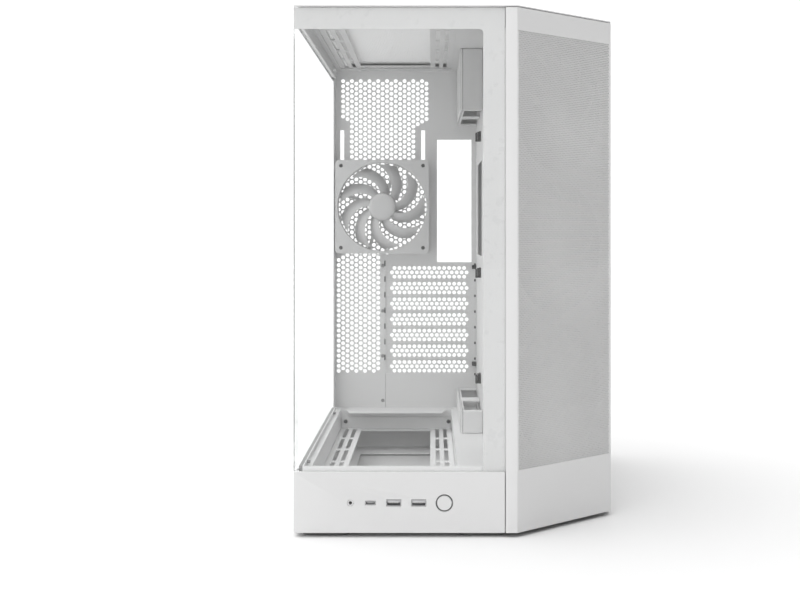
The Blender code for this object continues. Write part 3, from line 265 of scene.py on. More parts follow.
def punchTree():                                    # cuts one hole at every loose point of a closed sheet
    tree, start, end = newTree("punchHoles", "GeometryNodeTree", [
        ("Geometry", "NodeSocketGeometry", None), ("Sides", "NodeSocketInt", 12),
        ("Hole Radius", "NodeSocketFloat", 0.0026), ("Depth", "NodeSocketFloat", 0.004),
        ("Facing", "NodeSocketVector", None), ("Finish", "NodeSocketMaterial", None)], [
        ("Geometry", "NodeSocketGeometry", None)])
    link = tree.links.new
    neighbours = tree.nodes.new("GeometryNodeInputMeshVertexNeighbors")
    loose = addNode(tree, "FunctionNodeCompare", {"data_type": "INT", "operation": "EQUAL"})
    parts = addNode(tree, "GeometryNodeSeparateGeometry", {"domain": "POINT"})
    points = tree.nodes.new("GeometryNodeMeshToPoints")
    punch = addNode(tree, "GeometryNodeMeshCylinder", {"fill_type": "NGON"})
    turn = tree.nodes.new("FunctionNodeEulerToRotation")
    placed = tree.nodes.new("GeometryNodeInstanceOnPoints")
    made = tree.nodes.new("GeometryNodeRealizeInstances")
    cut = addNode(tree, "GeometryNodeMeshBoolean", {"operation": "DIFFERENCE", "solver": "MANIFOLD"})
    last = tree.nodes.new("GeometryNodeRealizeInstances")
    paint = tree.nodes.new("GeometryNodeSetMaterial")
    link(neighbours.outputs["Vertex Count"], loose.inputs[2])
    link(start.outputs["Geometry"], parts.inputs["Geometry"])
    link(loose.outputs["Result"], parts.inputs["Selection"])
    link(parts.outputs["Selection"], points.inputs["Mesh"])
    link(start.outputs["Sides"], punch.inputs["Vertices"])
    link(start.outputs["Hole Radius"], punch.inputs["Radius"])
    link(start.outputs["Depth"], punch.inputs["Depth"])
    link(start.outputs["Facing"], turn.inputs["Euler"])
    link(points.outputs["Points"], placed.inputs["Points"])
    link(punch.outputs["Mesh"], placed.inputs["Instance"])
    link(turn.outputs["Rotation"], placed.inputs["Rotation"])
    link(placed.outputs["Instances"], made.inputs["Geometry"])
    link(parts.outputs["Inverted"], cut.inputs["Mesh 1"])
    link(made.outputs["Geometry"], cut.inputs["Mesh 2"])
    link(cut.outputs["Mesh"], last.inputs["Geometry"])
    link(last.outputs["Geometry"], paint.inputs["Geometry"])
    link(start.outputs["Finish"], paint.inputs["Material"])
    link(paint.outputs["Geometry"], end.inputs["Geometry"])
    return tree


def scatterTree():                                  # one copy of a small shape at every point
    tree, start, end = newTree("scatterShape", "GeometryNodeTree", [
        ("Geometry", "NodeSocketGeometry", None), ("Shape", "NodeSocketObject", None),
        ("Facing", "NodeSocketVector", None), ("Finish", "NodeSocketMaterial", None)], [
        ("Geometry", "NodeSocketGeometry", None)])
    link = tree.links.new
    points = tree.nodes.new("GeometryNodeMeshToPoints")
    shape = tree.nodes.new("GeometryNodeObjectInfo")
    turn = tree.nodes.new("FunctionNodeEulerToRotation")
    placed = tree.nodes.new("GeometryNodeInstanceOnPoints")
    made = tree.nodes.new("GeometryNodeRealizeInstances")
    paint = tree.nodes.new("GeometryNodeSetMaterial")
    link(start.outputs["Geometry"], points.inputs["Mesh"])
    link(start.outputs["Shape"], shape.inputs["Object"])
    link(start.outputs["Facing"], turn.inputs["Euler"])
    link(points.outputs["Points"], placed.inputs["Points"])
    link(shape.outputs["Geometry"], placed.inputs["Instance"])
    link(turn.outputs["Rotation"], placed.inputs["Rotation"])
    link(placed.outputs["Instances"], made.inputs["Geometry"])
    link(made.outputs["Geometry"], paint.inputs["Geometry"])
    link(start.outputs["Finish"], paint.inputs["Material"])
    link(paint.outputs["Geometry"], end.inputs["Geometry"])
    return tree


punching = punchTree()
scattering = scatterTree()


def runTree(name, tree, mesh, values):              # evaluates the tree once and keeps a plain mesh
    source = bpy.data.objects.new(name + "Source", mesh)
    bpy.context.scene.collection.objects.link(source)
    maker = source.modifiers.new("maker", "NODES")
    maker.node_group = tree
    sockets = {item.name: item.identifier for item in tree.interface.items_tree if item.in_out == "INPUT"}
    for label, value in values.items():
        maker[sockets[label]] = value
    bpy.context.view_layer.update()
    graph = bpy.context.evaluated_depsgraph_get()
    made = bpy.data.meshes.new_from_object(source.evaluated_get(graph))
    bpy.data.objects.remove(source)
    made.name = name
    return made


def facing(normal, up):                             # the turn that sends Z to the normal and X to up
    forward = Vector(normal).normalized()
    above = Vector(up)
    above = (above - forward * above.dot(forward)).normalized()
    return Matrix((above, forward.cross(above), forward)).transposed().to_euler()


def toMesh(shape, name):
    bmesh.ops.recalc_face_normals(shape, faces=shape.faces)
    mesh = bpy.data.meshes.new(name)
    shape.to_mesh(mesh)
    shape.free()
    return mesh


def cadCopy(node):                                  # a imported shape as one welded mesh
    shape = bmesh.new()
    shape.from_mesh(nodes[node].data)
    bmesh.ops.remove_doubles(shape, verts=shape.verts, dist=1e-6)
    return shape


def boxShape(low, high):
    low, high = Vector(low), Vector(high)
    shape = bmesh.new()
    bmesh.ops.create_cube(shape, size=1)
    bmesh.ops.scale(shape, vec=high - low, verts=shape.verts)
    bmesh.ops.translate(shape, vec=(low + high) / 2, verts=shape.verts)
    return shape


roundLook = {"flat": 0.2, "sharp": 28.0}              # degrees between faces


def soften(shape, width, shortest=3 * mm, segments=2):      # rounds every long sharp edge a little
    bmesh.ops.dissolve_limit(shape, angle_limit=math.radians(roundLook["flat"]), verts=shape.verts,
                             edges=shape.edges)
    sharp = [edge for edge in shape.edges if len(edge.link_faces) == 2
             and edge.calc_face_angle() > math.radians(roundLook["sharp"]) and edge.calc_length() > shortest]
    bmesh.ops.bevel(shape, geom=sharp, offset=width, segments=segments, profile=0.5, affect="EDGES",
                    clamp_overlap=True)
    return shape


def slab(outline, place, thickness):                # an outline in X and Y, thickened along Z, then placed
    shape = bmesh.new()
    face = shape.faces.new([shape.verts.new((x, y, 0)) for x, y in outline])
    pushed = bmesh.ops.extrude_face_region(shape, geom=[face])
    moved = [item for item in pushed["geom"] if isinstance(item, bmesh.types.BMVert)]
    bmesh.ops.translate(shape, vec=(0, 0, thickness), verts=moved)
    bmesh.ops.transform(shape, matrix=place, verts=shape.verts)
    return shape


def merge(*shapes):
    whole = bmesh.new()
    for shape in shapes:
        part = toMesh(shape, "part")
        whole.from_mesh(part)
        bpy.data.meshes.remove(part)
    return whole


def punched(name, shape, centres, normal, up, values, finish):
    for centre in centres:
        shape.verts.new(centre)
    mesh = bpy.data.meshes.new(name + "Blank")
    shape.to_mesh(mesh)
    shape.free()
    return runTree(name, punching, mesh, {
        "Sides": values["sides"], "Hole Radius": values["hole"] / 2, "Depth": values["depth"],
        "Facing": facing(normal, up), "Finish": finish})


def addPiece(name, mesh, body, slotName, replaced=(), finish=None):
    piece = bpy.data.objects.new(name, mesh)
    bpy.context.scene.collection.objects.link(piece)
    mesh.materials.clear()
    mesh.materials.append(finish or finishes[slotName])
    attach(piece, body)
    if replaced:
        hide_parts(*replaced)
    return piece


def replaceNode(node, mesh, finish=None):
    return addPiece(node + "_shown", mesh, bodyOf[node], slotOf[node], (node,), finish)


def shadeByAngle(mesh, limit=20):                   # smooth over curves, sharp at edges
    mesh.shade_smooth()
    mesh.set_sharp_from_angle(angle=math.radians(limit))
    return mesh


def middleOf(node):
    low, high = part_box(node)
    return (low + high) / 2


cameraPlace = {"where": (-25.5, -1524.5, 292.0), "lens": 60.8, "shift": (-0.0405, -0.0875)}


def makeCamera():
    data = bpy.data.cameras.new("viewCamera")
    data.lens = cameraPlace["lens"]
    data.sensor_width = 36
    data.shift_x, data.shift_y = cameraPlace["shift"]
    camera = bpy.data.objects.new("viewCamera", data)
    camera.location = Vector(cameraPlace["where"]) * mm
    camera.rotation_euler = (halfTurn / 2, 0, 0)
    bpy.context.scene.collection.objects.link(camera)
    bpy.context.scene.camera = camera


studio = {"horizon": 0.58, "overhead": 1.75, "dimShare": 0.10, "fadeFrom": 0.0, "fadeTo": 0.75, "rise": 0.8,
          "backdrop": 1.2}


def makeStudio():                                   # white light, strongest above, weaker on the right
    world = bpy.data.worlds.new("studio")
    world.use_nodes = True
    tree = world.node_tree
    link = tree.links.new
    direction = tree.nodes.new("ShaderNodeTexCoord")
    split = tree.nodes.new("ShaderNodeSeparateXYZ")
    fade = shareNode(tree, studio["fadeFrom"], studio["fadeTo"], 1.0, studio["dimShare"])
    rise = shareNode(tree, 0.0, studio["rise"], studio["horizon"], studio["overhead"])
    strength = addNode(tree, "ShaderNodeMath", {"operation": "MULTIPLY"})
    rays = tree.nodes.new("ShaderNodeLightPath")
    direct = addNode(tree, "ShaderNodeMath", {"operation": "MAXIMUM"})
    seen = addNode(tree, "ShaderNodeMath", {"operation": "MAXIMUM"})
    backdrop = addNode(tree, "ShaderNodeMath", {"operation": "MULTIPLY"})
    backdrop.inputs[1].default_value = studio["backdrop"]
    link(direction.outputs["Generated"], split.inputs["Vector"])
    link(split.outputs["X"], fade.inputs["Value"])
    link(split.outputs["Z"], rise.inputs["Value"])
    link(fade.outputs["Result"], strength.inputs[0])
    link(rise.outputs["Result"], strength.inputs[1])
    link(rays.outputs["Is Camera Ray"], direct.inputs[0])
    link(rays.outputs["Is Transmission Ray"], direct.inputs[1])
    link(strength.outputs[0], seen.inputs[0])
    link(direct.outputs[0], backdrop.inputs[0])
    link(backdrop.outputs[0], seen.inputs[1])
    link(seen.outputs[0], tree.nodes["Background"].inputs["Strength"])
    tree.nodes["Background"].inputs["Color"].default_value = (1, 1, 1, 1)
    bpy.context.scene.world = world
    bpy.context.scene.view_settings.view_transform = "Standard"


floorLook = {"size": 9.0, "drop": 0.4}


def makeFloor():
    floor = bmesh.new()
    bmesh.ops.create_grid(floor, x_segments=1, y_segments=1, size=floorLook["size"])
    bmesh.ops.translate(floor, vec=(0, 0, -floorLook["drop"] * mm), verts=floor.verts)
    surface = bpy.data.objects.new("studioFloor", toMesh(floor, "studioFloor"))
    bpy.context.scene.collection.objects.link(surface)
    paint = newFinish("floorPaint", {
        "tone": (0.97, 0.97, 0.97), "roughness": 1.0, "relief": 0.0, "specular": 0.0,
        "effectValues": {"Unevenness": 0.002, "Dust": 0.0}})
    surface.data.materials.append(paint)


makeCamera()
makeStudio()
makeFloor()
print("scene: camera, light and floor")


glassLook = {"edge": 0.7, "band": 20.0, "corner": 4.0, "rearBand": 5.0, "print": 0.12, "margin": 0.5,
             "lift": 0.04}


def printOutline(width, height, band, side, corner):        # an L that runs along the top and down one side
    inner = (width - side, height - band)
    arc = [(inner[0] - corner + corner * math.sin(a), inner[1] - corner + corner * math.cos(a))
           for a in (halfTurn / 2 * step / 6 for step in range(7))]
    return [(0, height), (0, inner[1])] + arc + [(inner[0], 0), (width, 0), (width, height)]


def makeGlass(node, side, plane, along, finish):
    low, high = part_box(node)
    replaceNode(node, toMesh(soften(boxShape(low, high), glassLook["edge"] * mm), node), finish)
    margin = glassLook["margin"] * mm
    start = Vector((low.x, high.y, low.z)) if along == "x" else Vector((high.x, low.y, low.z))
    width = (high.x - low.x if along == "x" else high.y - low.y) - 2 * margin
    outline = printOutline(width, high.z - low.z - 2 * margin, glassLook["band"] * mm, side * mm,
                           glassLook["corner"] * mm)
    start = start + Vector(plane) * glassLook["lift"] * mm + Vector((0, 0, margin))
    start = start + (Vector((margin, 0, 0)) if along == "x" else Vector((0, margin, 0)))
    across = Vector((1, 0, 0)) if along == "x" else Vector((0, 1, 0))
    turn = Matrix((across, (0, 0, 1), plane)).transposed().to_4x4()
    border = slab(outline, Matrix.Translation(start) @ turn, glassLook["print"] * mm)
    addPiece(node + "_print", toMesh(border, node + "_print"), bodyOf[node], "white_powder_coat", (), enamel)


makeGlass("front_glass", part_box("front_glass")[1].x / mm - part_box("front_post")[0].x / mm, (0, 1, 0), "x",
          finishes["tempered_glass"])
makeGlass("left_glass", glassLook["rearBand"], (1, 0, 0), "y", sideGlass)
print("scene: glass panels")


ventLook = {"pitch": 5.69, "rise": 6.536, "hole": 5.1, "sides": 12, "depth": 4.0, "columns": 21,
            "fromFan": -57.0, "topAboveFan": 163.3, "lowestAboveFan": -212.6, "wideColumns": (1, 20),
            "narrowColumns": (3, 17), "wideBottom": 113.7, "grilleRadius": 60.5, "lowColumns": (0, 9),
            "lowTop": -69.1}


def rearVentPlaces():                               # one staggered lattice, kept inside four zones
    middle = middleOf("rear_fan_frame")
    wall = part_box("rear_wall")
    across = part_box("slot_cover_1")[0].y - 0.8 * mm
    places = []
    for column in range(ventLook["columns"]):
        x = ventLook["fromFan"] + ventLook["pitch"] * column
        offset = 0.0 if column % 2 else -ventLook["rise"] / 2
        z = ventLook["topAboveFan"] + offset
        while z > ventLook["lowestAboveFan"] + offset - 1.0:
            step = ventLook["rise"] / 2
            edge = min(column - ventLook["wideColumns"][0], ventLook["wideColumns"][1] - column)
            wide = edge >= 0 and z > ventLook["wideBottom"] - step * edge - 0.5
            narrow = ventLook["narrowColumns"][0] <= column <= ventLook["narrowColumns"][1] and z > 0
            grille = x * x + z * z < ventLook["grilleRadius"] ** 2
            low = ventLook["lowColumns"][0] <= column <= ventLook["lowColumns"][1] \
                and z < ventLook["lowTop"] + step * column + 0.5
            if wide or narrow or grille or low:
                places.append(Vector((middle.x + x * mm, across, middle.z + z * mm)))
            z -= ventLook["rise"]
    return [place for place in places if place.x > wall[0].x + 2 * mm]


rearWall = punched("rearWall", cadCopy("rear_wall"), rearVentPlaces(), (0, -1, 0), (0, 0, 1),
                   {**ventLook, "hole": ventLook["hole"] * mm, "depth": ventLook["depth"] * mm},
                   finishes["white_powder_coat"])
# the rear wall wears the duller coat of painted shade
replaceNode("rear_wall", shadeByAngle(rearWall), innerCoatPaintedShade)

coverLook = {"pitch": 6.457, "rows": 5.6, "hole": 5.0, "sides": 12, "depth": 4.0, "fromLeft": 11.0,
             "count": 15}


def makeSlotCovers():
    names = ["slot_cover_%d" % (index + 1) for index in range(7)]
    whole = merge(*[cadCopy(name) for name in names])
    places = []
    for name in names:
        low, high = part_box(name)
        level = (low.z + high.z) / 2
        for row in (-1, 0, 1):
            for index in range(coverLook["count"] + (row == 0)):
                x = low.x + (coverLook["fromLeft"] + coverLook["pitch"] * (index + abs(row) / 2)) * mm
                places.append(Vector((x, low.y + 0.5 * mm, level + row * coverLook["rows"] * mm)))
    made = punched("slotCovers", whole, places, (0, -1, 0), (0, 0, 1),
                   {"sides": coverLook["sides"], "hole": coverLook["hole"] * mm,
                    "depth": coverLook["depth"] * mm}, finishes["white_powder_coat"])
    # the slot covers wear the duller coat of painted shade
    addPiece("slot_covers_shown", shadeByAngle(made), bodyOf[names[0]], slotOf[names[0]], names, innerCoatPaintedShade)


makeSlotCovers()
print("scene: rear wall and slot covers")


fanLook = {"blades": 9, "sweep": 44.0, "stations": 10, "tipGap": 1.6, "thickness": 1.5, "rootChord": 14.0,
           "tipChord": 27.0, "rootPitch": 50.0, "tipPitch": 30.0, "camber": 0.10, "hubDepth": 19.0,
           "dome": 3.0, "rearHub": 17.5, "sideHub": 20.0, "hubSides": 48}
bladeSection = ((-0.5, 0.0), (-0.3, 0.8), (0.0, 1.0), (0.3, 0.7), (0.5, 0.0), (0.3, -0.7), (0.0, -1.0),
                (-0.3, -0.8))


def blend(low, high, share):
    return low + (high - low) * share


def bladeShape(turn, hub, tip):                     # an airfoil carried outward while it sweeps and flattens
    shape = bmesh.new()
    rings = []
    for station in range(fanLook["stations"]):
        share = station / (fanLook["stations"] - 1)
        radius = blend(hub - 0.8 * mm, tip, share)
        chord = blend(fanLook["rootChord"], fanLook["tipChord"], share ** 0.8) * mm * tip / (55 * mm)
        pitch = math.radians(blend(fanLook["rootPitch"], fanLook["tipPitch"], share))
        sweep = math.radians(fanLook["sweep"]) * share ** 1.25
        ring = []
        for along, side in bladeSection:
            lift = side * fanLook["thickness"] * mm / 2 + chord * fanLook["camber"] * (1 - 4 * along * along)
            across = along * chord * math.cos(pitch) - lift * math.sin(pitch)
            depth = along * chord * math.sin(pitch) + lift * math.cos(pitch)
            angle = turn + sweep + across / radius
            ring.append(shape.verts.new((radius * math.cos(angle), radius * math.sin(angle), depth)))
        rings.append(ring)
    for inner, outer in zip(rings, rings[1:]):
        for index in range(len(inner)):
            after = (index + 1) % len(inner)
            shape.faces.new((inner[index], inner[after], outer[after], outer[index]))
    shape.faces.new(rings[0])
    shape.faces.new(rings[-1])
    return shape


def turned(profile, steps):                         # a closed body turned about Z, from (radius, height)
    shape = bmesh.new()
    rings = []
    for radius, height in profile:
        rings.append([shape.verts.new((radius * math.cos(a), radius * math.sin(a), height))
                      for a in (2 * halfTurn * step / steps for step in range(steps))])
    for lower, upper in zip(rings, rings[1:]):
        for index in range(steps):
            after = (index + 1) % steps
            shape.faces.new((lower[index], lower[after], upper[after], upper[index]))
    shape.faces.new(rings[0])
    shape.faces.new(rings[-1])
    return shape


def makeRotor(node, jointName, toViewer, hub):
    low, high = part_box(node)
    centre = Vector(joints[jointName]["pos_m"])
    reach = (high.z - low.z) / 2
    depth = fanLook["hubDepth"] * mm
    dome = fanLook["dome"] * mm
    profile = [(hub - 1.2 * mm, -depth / 2), (hub, -depth / 2 + 0.6 * mm), (hub, depth / 2 - dome),
               (hub - 0.5 * mm, depth / 2 - dome * 0.55), (hub - 1.8 * mm, depth / 2 - dome * 0.22),
               (hub * 0.7, depth / 2 - 0.2 * mm), (hub * 0.35, depth / 2)]
    count = fanLook["blades"]
    blades = [bladeShape(2 * halfTurn * index / count, hub, reach - fanLook["tipGap"] * mm)
              for index in range(count)]
    rotor = merge(turned(profile, fanLook["hubSides"]), *blades)
    right = Vector((0, 0, 1)).cross(Vector(toViewer))
    place = Matrix.Translation(centre) @ Matrix((right, (0, 0, 1), toViewer)).transposed().to_4x4()
    bmesh.ops.transform(rotor, matrix=place, verts=rotor.verts)
    replaceNode(node, shadeByAngle(toMesh(rotor, node), 40), fanMoulding)


def makeFrameShown(node):
    shape = soften(cadCopy(node), 0.5 * mm, 2.4 * mm)
    replaceNode(node, shadeByAngle(toMesh(shape, node)), fanMoulding)


cornerNormal = Vector((1, -1, 0)).normalized()
makeRotor("rear_fan_rotor", "rear_fan_spin", (0, -1, 0), fanLook["rearHub"] * mm)
makeFrameShown("rear_fan_frame")
for fanIndex in range(3):
    fanName = "side_fan_%d" % (fanIndex + 1)
    makeRotor(fanName + "_rotor", fanName + "_spin", tuple(cornerNormal), fanLook["sideHub"] * mm)
    makeFrameShown(fanName + "_frame")
print("scene: fans")


meshLook = {"pitch": 2.06, "row": 1.784, "hole": 1.74, "sides": 6, "depth": 2.4, "border": 1.4, "parts": 4,
            "bottom": 59.0, "top": 20.0, "gap": 0.01, "sheet": 1.0, "endGap": 0.6}


def lattice(width, height, pitch, row, edge):       # staggered hole centres that keep clear of the edges
    places = []
    for level in range(int(height / row) + 1):
        shift = pitch / 2 * (level % 2)
        for column in range(int(width / pitch) + 1):
            x, y = edge + shift + column * pitch, edge + level * row
            if x < width - edge and y < height - edge:
                places.append((x, y))
    return places


def perforatedSheet(name, origin, across, up, width, height, values, replaceBody, slotName):
    normal = Vector(across).cross(Vector(up))
    place = Matrix.Translation(Vector(origin)) @ Matrix((across, up, normal)).transposed().to_4x4()
    gap = meshLook["gap"] * mm
    rows = int(height / (values["row"] * mm * 2) / values["parts"]) * values["row"] * mm * 2
    for part in range(values["parts"]):
        low = rows * part
        high = height if part == values["parts"] - 1 else rows * (part + 1)
        outline = [(gap, low + gap), (width - gap, low + gap), (width - gap, high - gap), (gap, high - gap)]
        sheet = slab(outline, place, values["sheet"] * mm)
        edge = values["pitch"] * mm * 0.55
        spots = lattice(width, high - low + edge * 0.7, values["pitch"] * mm, values["row"] * mm, edge)
        places = [place @ Vector((x, y + low, values["sheet"] * mm / 2))
                  for x, y in spots if y + low < height - edge]
        made = punched(name, sheet, places, normal, up, {
            "sides": values["sides"], "hole": values["hole"] * mm, "depth": values["depth"] * mm},
            finishes[slotName])
        addPiece("%s_%d" % (name, part + 1), made, replaceBody, slotName)


def windowCut(node, name, low, high, turn=None):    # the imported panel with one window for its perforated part
    shape = cadCopy(node)
    base = bpy.data.objects.new(name + "Base", toMesh(shape, name))
    cutter = bpy.data.objects.new(name + "Cutter", toMesh(boxShape(low, high), name + "Cutter"))
    if turn is not None:
        cutter.matrix_world = turn
    for item in (base, cutter):
        bpy.context.scene.collection.objects.link(item)
    step = base.modifiers.new("window", "BOOLEAN")
    step.operation = "DIFFERENCE"
    step.solver = "MANIFOLD"
    step.object = cutter
    bpy.context.view_layer.update()
    made = bpy.data.meshes.new_from_object(base.evaluated_get(bpy.context.evaluated_depsgraph_get()))
    bpy.data.objects.remove(base)
    bpy.data.objects.remove(cutter)
    return made


def makeCornerPanel():
    low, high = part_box("corner_panel")
    across = Vector((1, 1, 0)).normalized()
    faceStart = Vector((high.x - (high.y - low.y), low.y, 0))
    width = (high.y - low.y) * math.sqrt(2)
    start = faceStart + across * meshLook["border"] * mm
    bottom = low.z + meshLook["bottom"] * mm
    top = high.z - meshLook["top"] * mm
    span = width - 2 * meshLook["border"] * mm - meshLook["endGap"] * mm
    place = Matrix.Translation(start + Vector((0, 0, bottom))) \
        @ Matrix((across, (0, 0, 1), cornerNormal)).transposed().to_4x4()
    mesh = windowCut("corner_panel", "cornerPanel", (0, 0, -3 * mm), (span, top - bottom, 2 * mm), place)
    replaceNode("corner_panel", shadeByAngle(mesh))
    origin = start + Vector((0, 0, bottom)) - cornerNormal * meshLook["sheet"] * mm
    perforatedSheet("cornerMesh", origin, tuple(across), (0, 0, 1), span, top - bottom,
                    meshLook, bodyOf["corner_panel"], slotOf["corner_panel"])


makeCornerPanel()

topMeshLook = {"pitch": 3.7, "row": 3.2, "hole": 2.7, "sides": 6, "depth": 2.6, "parts": 1, "sheet": 1.2}


def makeTopPanel():
    low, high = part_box("top_panel")
    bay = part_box("top_fan_bracket")
    start = Vector((bay[0].x + 4 * mm, bay[0].y + 4 * mm, low.z))
    span = (bay[1].x - start.x, bay[1].y - 4 * mm - start.y)
    mesh = windowCut("top_panel", "topPanel", (start.x, start.y, low.z - 2 * mm),
                     (start.x + span[0], start.y + span[1], high.z + 2 * mm))
    shape = bmesh.new()
    shape.from_mesh(mesh)
    replaceNode("top_panel", shadeByAngle(toMesh(soften(shape, 0.35 * mm, 20 * mm), "topPanel")))
    perforatedSheet("topMesh", start, (1, 0, 0), (0, 1, 0), span[0], span[1], topMeshLook,
                    bodyOf["top_panel"], slotOf["top_panel"])


makeTopPanel()

sideVentLook = {"pitch": 5.2, "row": 4.5, "hole": 3.4, "sides": 6, "depth": 5.0, "sheet": 1.0,
                "zone": (168.0, 176.0)}


def makeRightPanel():
    low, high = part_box("right_panel")
    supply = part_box("psu_bracket")
    width, height = (size * mm for size in sideVentLook["zone"])
    start = Vector((high.x - 0.5 * mm, high.y - 24 * mm - width, supply[0].z + 2 * mm))
    places = [start + Vector((0, x, y)) for x, y in lattice(width, height, sideVentLook["pitch"] * mm,
                                                            sideVentLook["row"] * mm, 3 * mm)]
    made = punched("rightPanel", cadCopy("right_panel"), places, (1, 0, 0), (0, 0, 1), {
        "sides": sideVentLook["sides"], "hole": sideVentLook["hole"] * mm,
        "depth": sideVentLook["depth"] * mm}, finishes["white_powder_coat"])
    replaceNode("right_panel", shadeByAngle(made))


makeRightPanel()
print("scene: perforated panels")


softNodes = {"front_fascia": 0.6, "cable_cover_top": 0.8, "cable_cover_bottom": 0.8, "base_pan": 0.3,
             "front_glass_rail_top": 0.3, "front_glass_rail_bottom": 0.3, "left_glass_rail_top": 0.3,
             "left_glass_rail_bottom": 0.3, "front_post": 0.4, "drive_cage": 0.3, "drive_tray_1": 0.5,
             "drive_tray_2": 0.5, "power_button": 0.35, "psu_shelf": 0.3, "bottom_fan_tray": 0.3,
             "cable_hook_1": 0.4, "cable_hook_2": 0.4, "cable_hook_3": 0.4, "io_carrier": 0.4,
             "foot_1": 0.6, "foot_2": 0.6, "foot_3": 0.6, "foot_4": 0.6}
# finishes that paint shade on pieces less light reaches: the upper cable cover, the bottom left glass rail, the
# motherboard tray, the top frame and the top fan bracket
softShadeFinish = {"left_glass_rail_bottom": greyTrimAndPaintedShade, "cable_cover_top": upperCoatPaintedShade}
nodeShadeFinish = {"motherboard_tray": innerCoatPaintedShade, "top_frame": upperCoatPaintedShade, "top_fan_bracket": upperCoatPaintedShade}


def closedShape(shape):
    return all(len(edge.link_faces) == 2 for edge in shape.edges)


for softNode, softWidth in softNodes.items():
    softShape = soften(cadCopy(softNode), softWidth * mm)
    if closedShape(softShape):
        replaceNode(softNode, shadeByAngle(toMesh(softShape, softNode)), softShadeFinish.get(softNode))
    else:
        print("scene: kept the packed shape of", softNode)
        softShape.free()
print("scene: softened pieces")


screwLook = {"radius": 2.9, "height": 1.5, "steps": 12, "recess": 1.3, "fanReach": 52.5,
             "holeShadeProfile": ((2.1, 0), (2.4, 0.12), (2.1, 0.25)), "holeShadeSteps": 14}


def screwHead(radius, height):                      # a low domed head with a six-sided recess
    recess = screwLook["recess"] * mm * radius / (screwLook["radius"] * mm)
    profile = [(radius * 0.96, 0), (radius, height * 0.35), (radius * 0.72, height * 0.85),
               (recess, height), (recess, height * 0.35), (recess * 0.3, height * 0.3)]
    return turned(profile, screwLook["steps"])


def scattered(name, places, normal, shape, body, slotName, finish):
    template = bpy.data.objects.new(name + "Shape", toMesh(shape, name + "Shape"))
    points = bmesh.new()
    for place in places:
        points.verts.new(place)
    mesh = bpy.data.meshes.new(name + "Points")
    points.to_mesh(mesh)
    points.free()
    made = runTree(name, scattering, mesh, {
        "Shape": template, "Facing": facing(normal, (0, 0, 1) if abs(normal[2]) < 0.9 else (1, 0, 0)),
        "Finish": finish})
    bpy.data.objects.remove(template)
    addPiece(name, shadeByAngle(made, 50), body, slotName, (), finish)


def makeFasteners():
    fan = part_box("rear_fan_frame")
    reach = screwLook["fanReach"] * mm
    middle = middleOf("rear_fan_frame")
    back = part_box("slot_cover_1")[0].y - 0.25 * mm
    corners = [Vector((middle.x + x * reach, back, middle.z + z * reach)) for x in (-1, 1) for z in (-1, 1)]
    scattered("fan_screws", corners, (0, 1, 0),
              screwHead(screwLook["radius"] * mm, screwLook["height"] * mm), "chassis",
              "white_powder_coat", screwSteel)
    # near black discs on the fan frame's screw holes: painted shade of the holes
    face = [Vector((place.x, fan[0].y - 0.02 * mm, place.z)) for place in corners]
    profile = [(radius * mm, height * mm) for radius, height in screwLook["holeShadeProfile"]]
    scattered("fan_frame_holes", face, (0, -1, 0), turned(profile, screwLook["holeShadeSteps"]), "chassis",
              "white_plastic", paintedRecessShade)
    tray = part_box("bottom_fan_tray")
    bracket = [Vector((x, tray[1].y - 1.5 * mm, tray[1].z - 5.5 * mm))
               for x in (tray[0].x + 6 * mm, tray[1].x - 3.5 * mm)]
    scattered("tray_screws", bracket, (0, -1, 0), screwHead(2.6 * mm, 1.3 * mm), "chassis",
              "white_powder_coat", paintedRecessShade)
    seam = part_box("slot_cover_1")[0].x
    rivets = [Vector((seam - 0.8 * mm, wallFace, level * mm)) for level in wallLook["rivets"]]
    scattered("wall_rivets", rivets, (0, -1, 0), screwHead(2.3 * mm, 0.9 * mm), "chassis",
              "white_powder_coat", greyTrimAndPaintedShade)
    # near black blocks by the seam and along the ledge: painted shade for the shadowed slots there
    tongues = [Vector((seam + 1.9 * mm, wallFace, level * mm)) for level in wallLook["tongues"]]
    scattered("cover_tongues", tongues, (0, -1, 0), block(wallLook["tongueSize"]), "chassis",
              "white_powder_coat", paintedRecessShade)
    ledge = [Vector((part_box("slot_ledge")[0].x + 4.4 * mm, wallFace - 0.1 * mm, level * mm))
             for level in wallLook["divisions"]]
    scattered("ledge_slots", ledge, (0, -1, 0), block(wallLook["divisionSize"]), "chassis",
              "white_powder_coat", paintedRecessShade)


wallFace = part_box("slot_cover_1")[0].y - 1.3 * mm
slotPitch = (middleOf("slot_cover_2") - middleOf("slot_cover_1")).z
slotBottom = middleOf("slot_cover_1").z - slotPitch / 2
wallLook = {"rivets": [slotBottom / mm + rise for rise in (141.0, 82.3, 23.9, -33.9)],
            "tongues": [(slotBottom + slotPitch * index) / mm + 1.6 for index in range(1, 8)],
            "tongueSize": (7.0, 1.5, 0.5), "divisionSize": (3.0, 2.2, 0.4), "web": 2.0,
            "divisions": [(slotBottom + slotPitch * index) / mm for index in range(8)]}


def block(size):                                    # a small block with rounded edges, resting on Z = 0
    high, wide, deep = (value * mm for value in size)
    shape = boxShape((-high / 2, -wide / 2, 0), (high / 2, wide / 2, deep))
    return soften(shape, min(size) * 0.2 * mm, 0.1 * mm, 1)


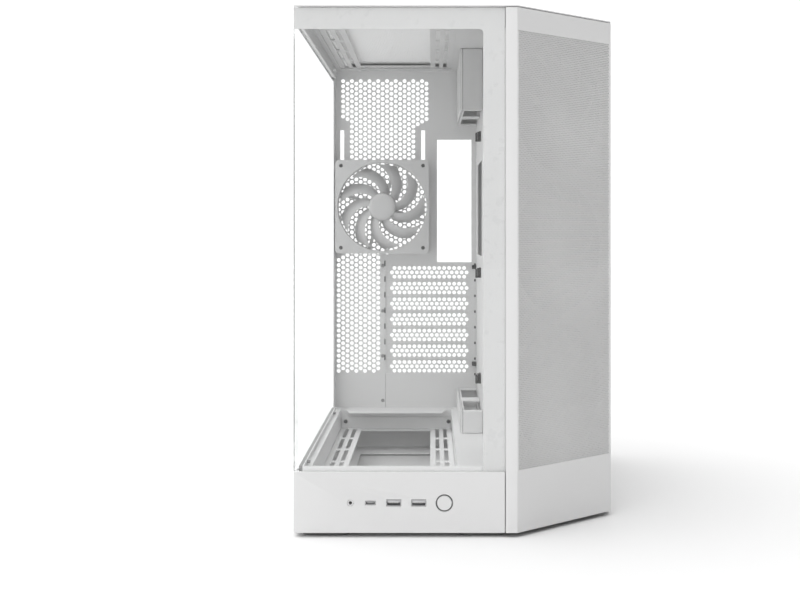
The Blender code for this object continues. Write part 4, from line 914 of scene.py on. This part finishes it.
def makeWallDetails():
    first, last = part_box("slot_cover_1"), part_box("slot_cover_7")
    webs = []
    for index in range(8):
        level = slotBottom + slotPitch * index
        webs.append(boxShape((first[0].x + 2 * mm, wallFace + 0.1 * mm, level - wallLook["web"] / 2 * mm),
                             (first[1].x - 2 * mm, wallFace + 0.9 * mm, level + wallLook["web"] / 2 * mm)))
    # the webs wear the duller coat of painted shade
    addPiece("slot_webs", toMesh(soften(merge(*webs), 0.2 * mm, 5 * mm, 1), "slotWebs"), "chassis",
             "white_powder_coat", (), innerCoatPaintedShade)
    seam = first[0].x + 2.4 * mm
    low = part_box("rear_wall")[0].z
    line = boxShape((seam, wallFace - 0.12 * mm, low), (seam + 0.5 * mm, wallFace + 0.3 * mm, first[0].z))
    addPiece("wall_seam", toMesh(soften(line, 0.08 * mm, 0.1 * mm, 1), "wallSeam"), "chassis",
             "white_powder_coat", (), greyTrimAndPaintedShade)
    pads = []
    for name in ("cable_hook_1", "cable_hook_2", "cable_hook_3"):
        inner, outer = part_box(name)
        pads.append(boxShape(inner + Vector((2.2, 2.2, 1.0)) * mm, outer - Vector((0.6, 2.2, 0.5)) * mm))
    for level in (wallLook["divisions"][0] + 14, wallLook["divisions"][-1] - 3):
        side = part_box("slot_ledge")[0].x + 0.4 * mm
        pads.append(boxShape((side, wallFace - 5 * mm, (level - 2.6) * mm),
                             (side + 5.6 * mm, wallFace, (level + 2.6) * mm)))
    addPiece("clip_pads", toMesh(soften(merge(*pads), 0.6 * mm, 1 * mm), "clipPads"), "chassis",
             "black_plastic")


contactLook = {"across": (-3.5, -1.2, 1.2, 3.5), "size": (0.7, 1.1, 0.5), "setBack": 1.1, "rise": 0.1}


def makeContacts():
    for name in ("usb_a_port_1", "usb_a_port_2"):
        middle = middleOf(name)
        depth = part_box(name)[0].y + contactLook["setBack"] * mm
        places = [Vector((middle.x + x * mm, depth, middle.z + contactLook["rise"] * mm))
                  for x in contactLook["across"]]
        scattered(name + "_contacts", places, (0, -1, 0), block(contactLook["size"]), "chassis",
                  "port_metal", contactPlate)


makeFasteners()
makeWallDetails()
makeContacts()
print("scene: fasteners and small details")


for nodeName, nodeObject in nodes.items():
    nodeObject.data.materials.clear()
    nodeObject.data.materials.append(nodeShadeFinish.get(nodeName, finishes[slotOf[nodeName]]))

print("scene: done")
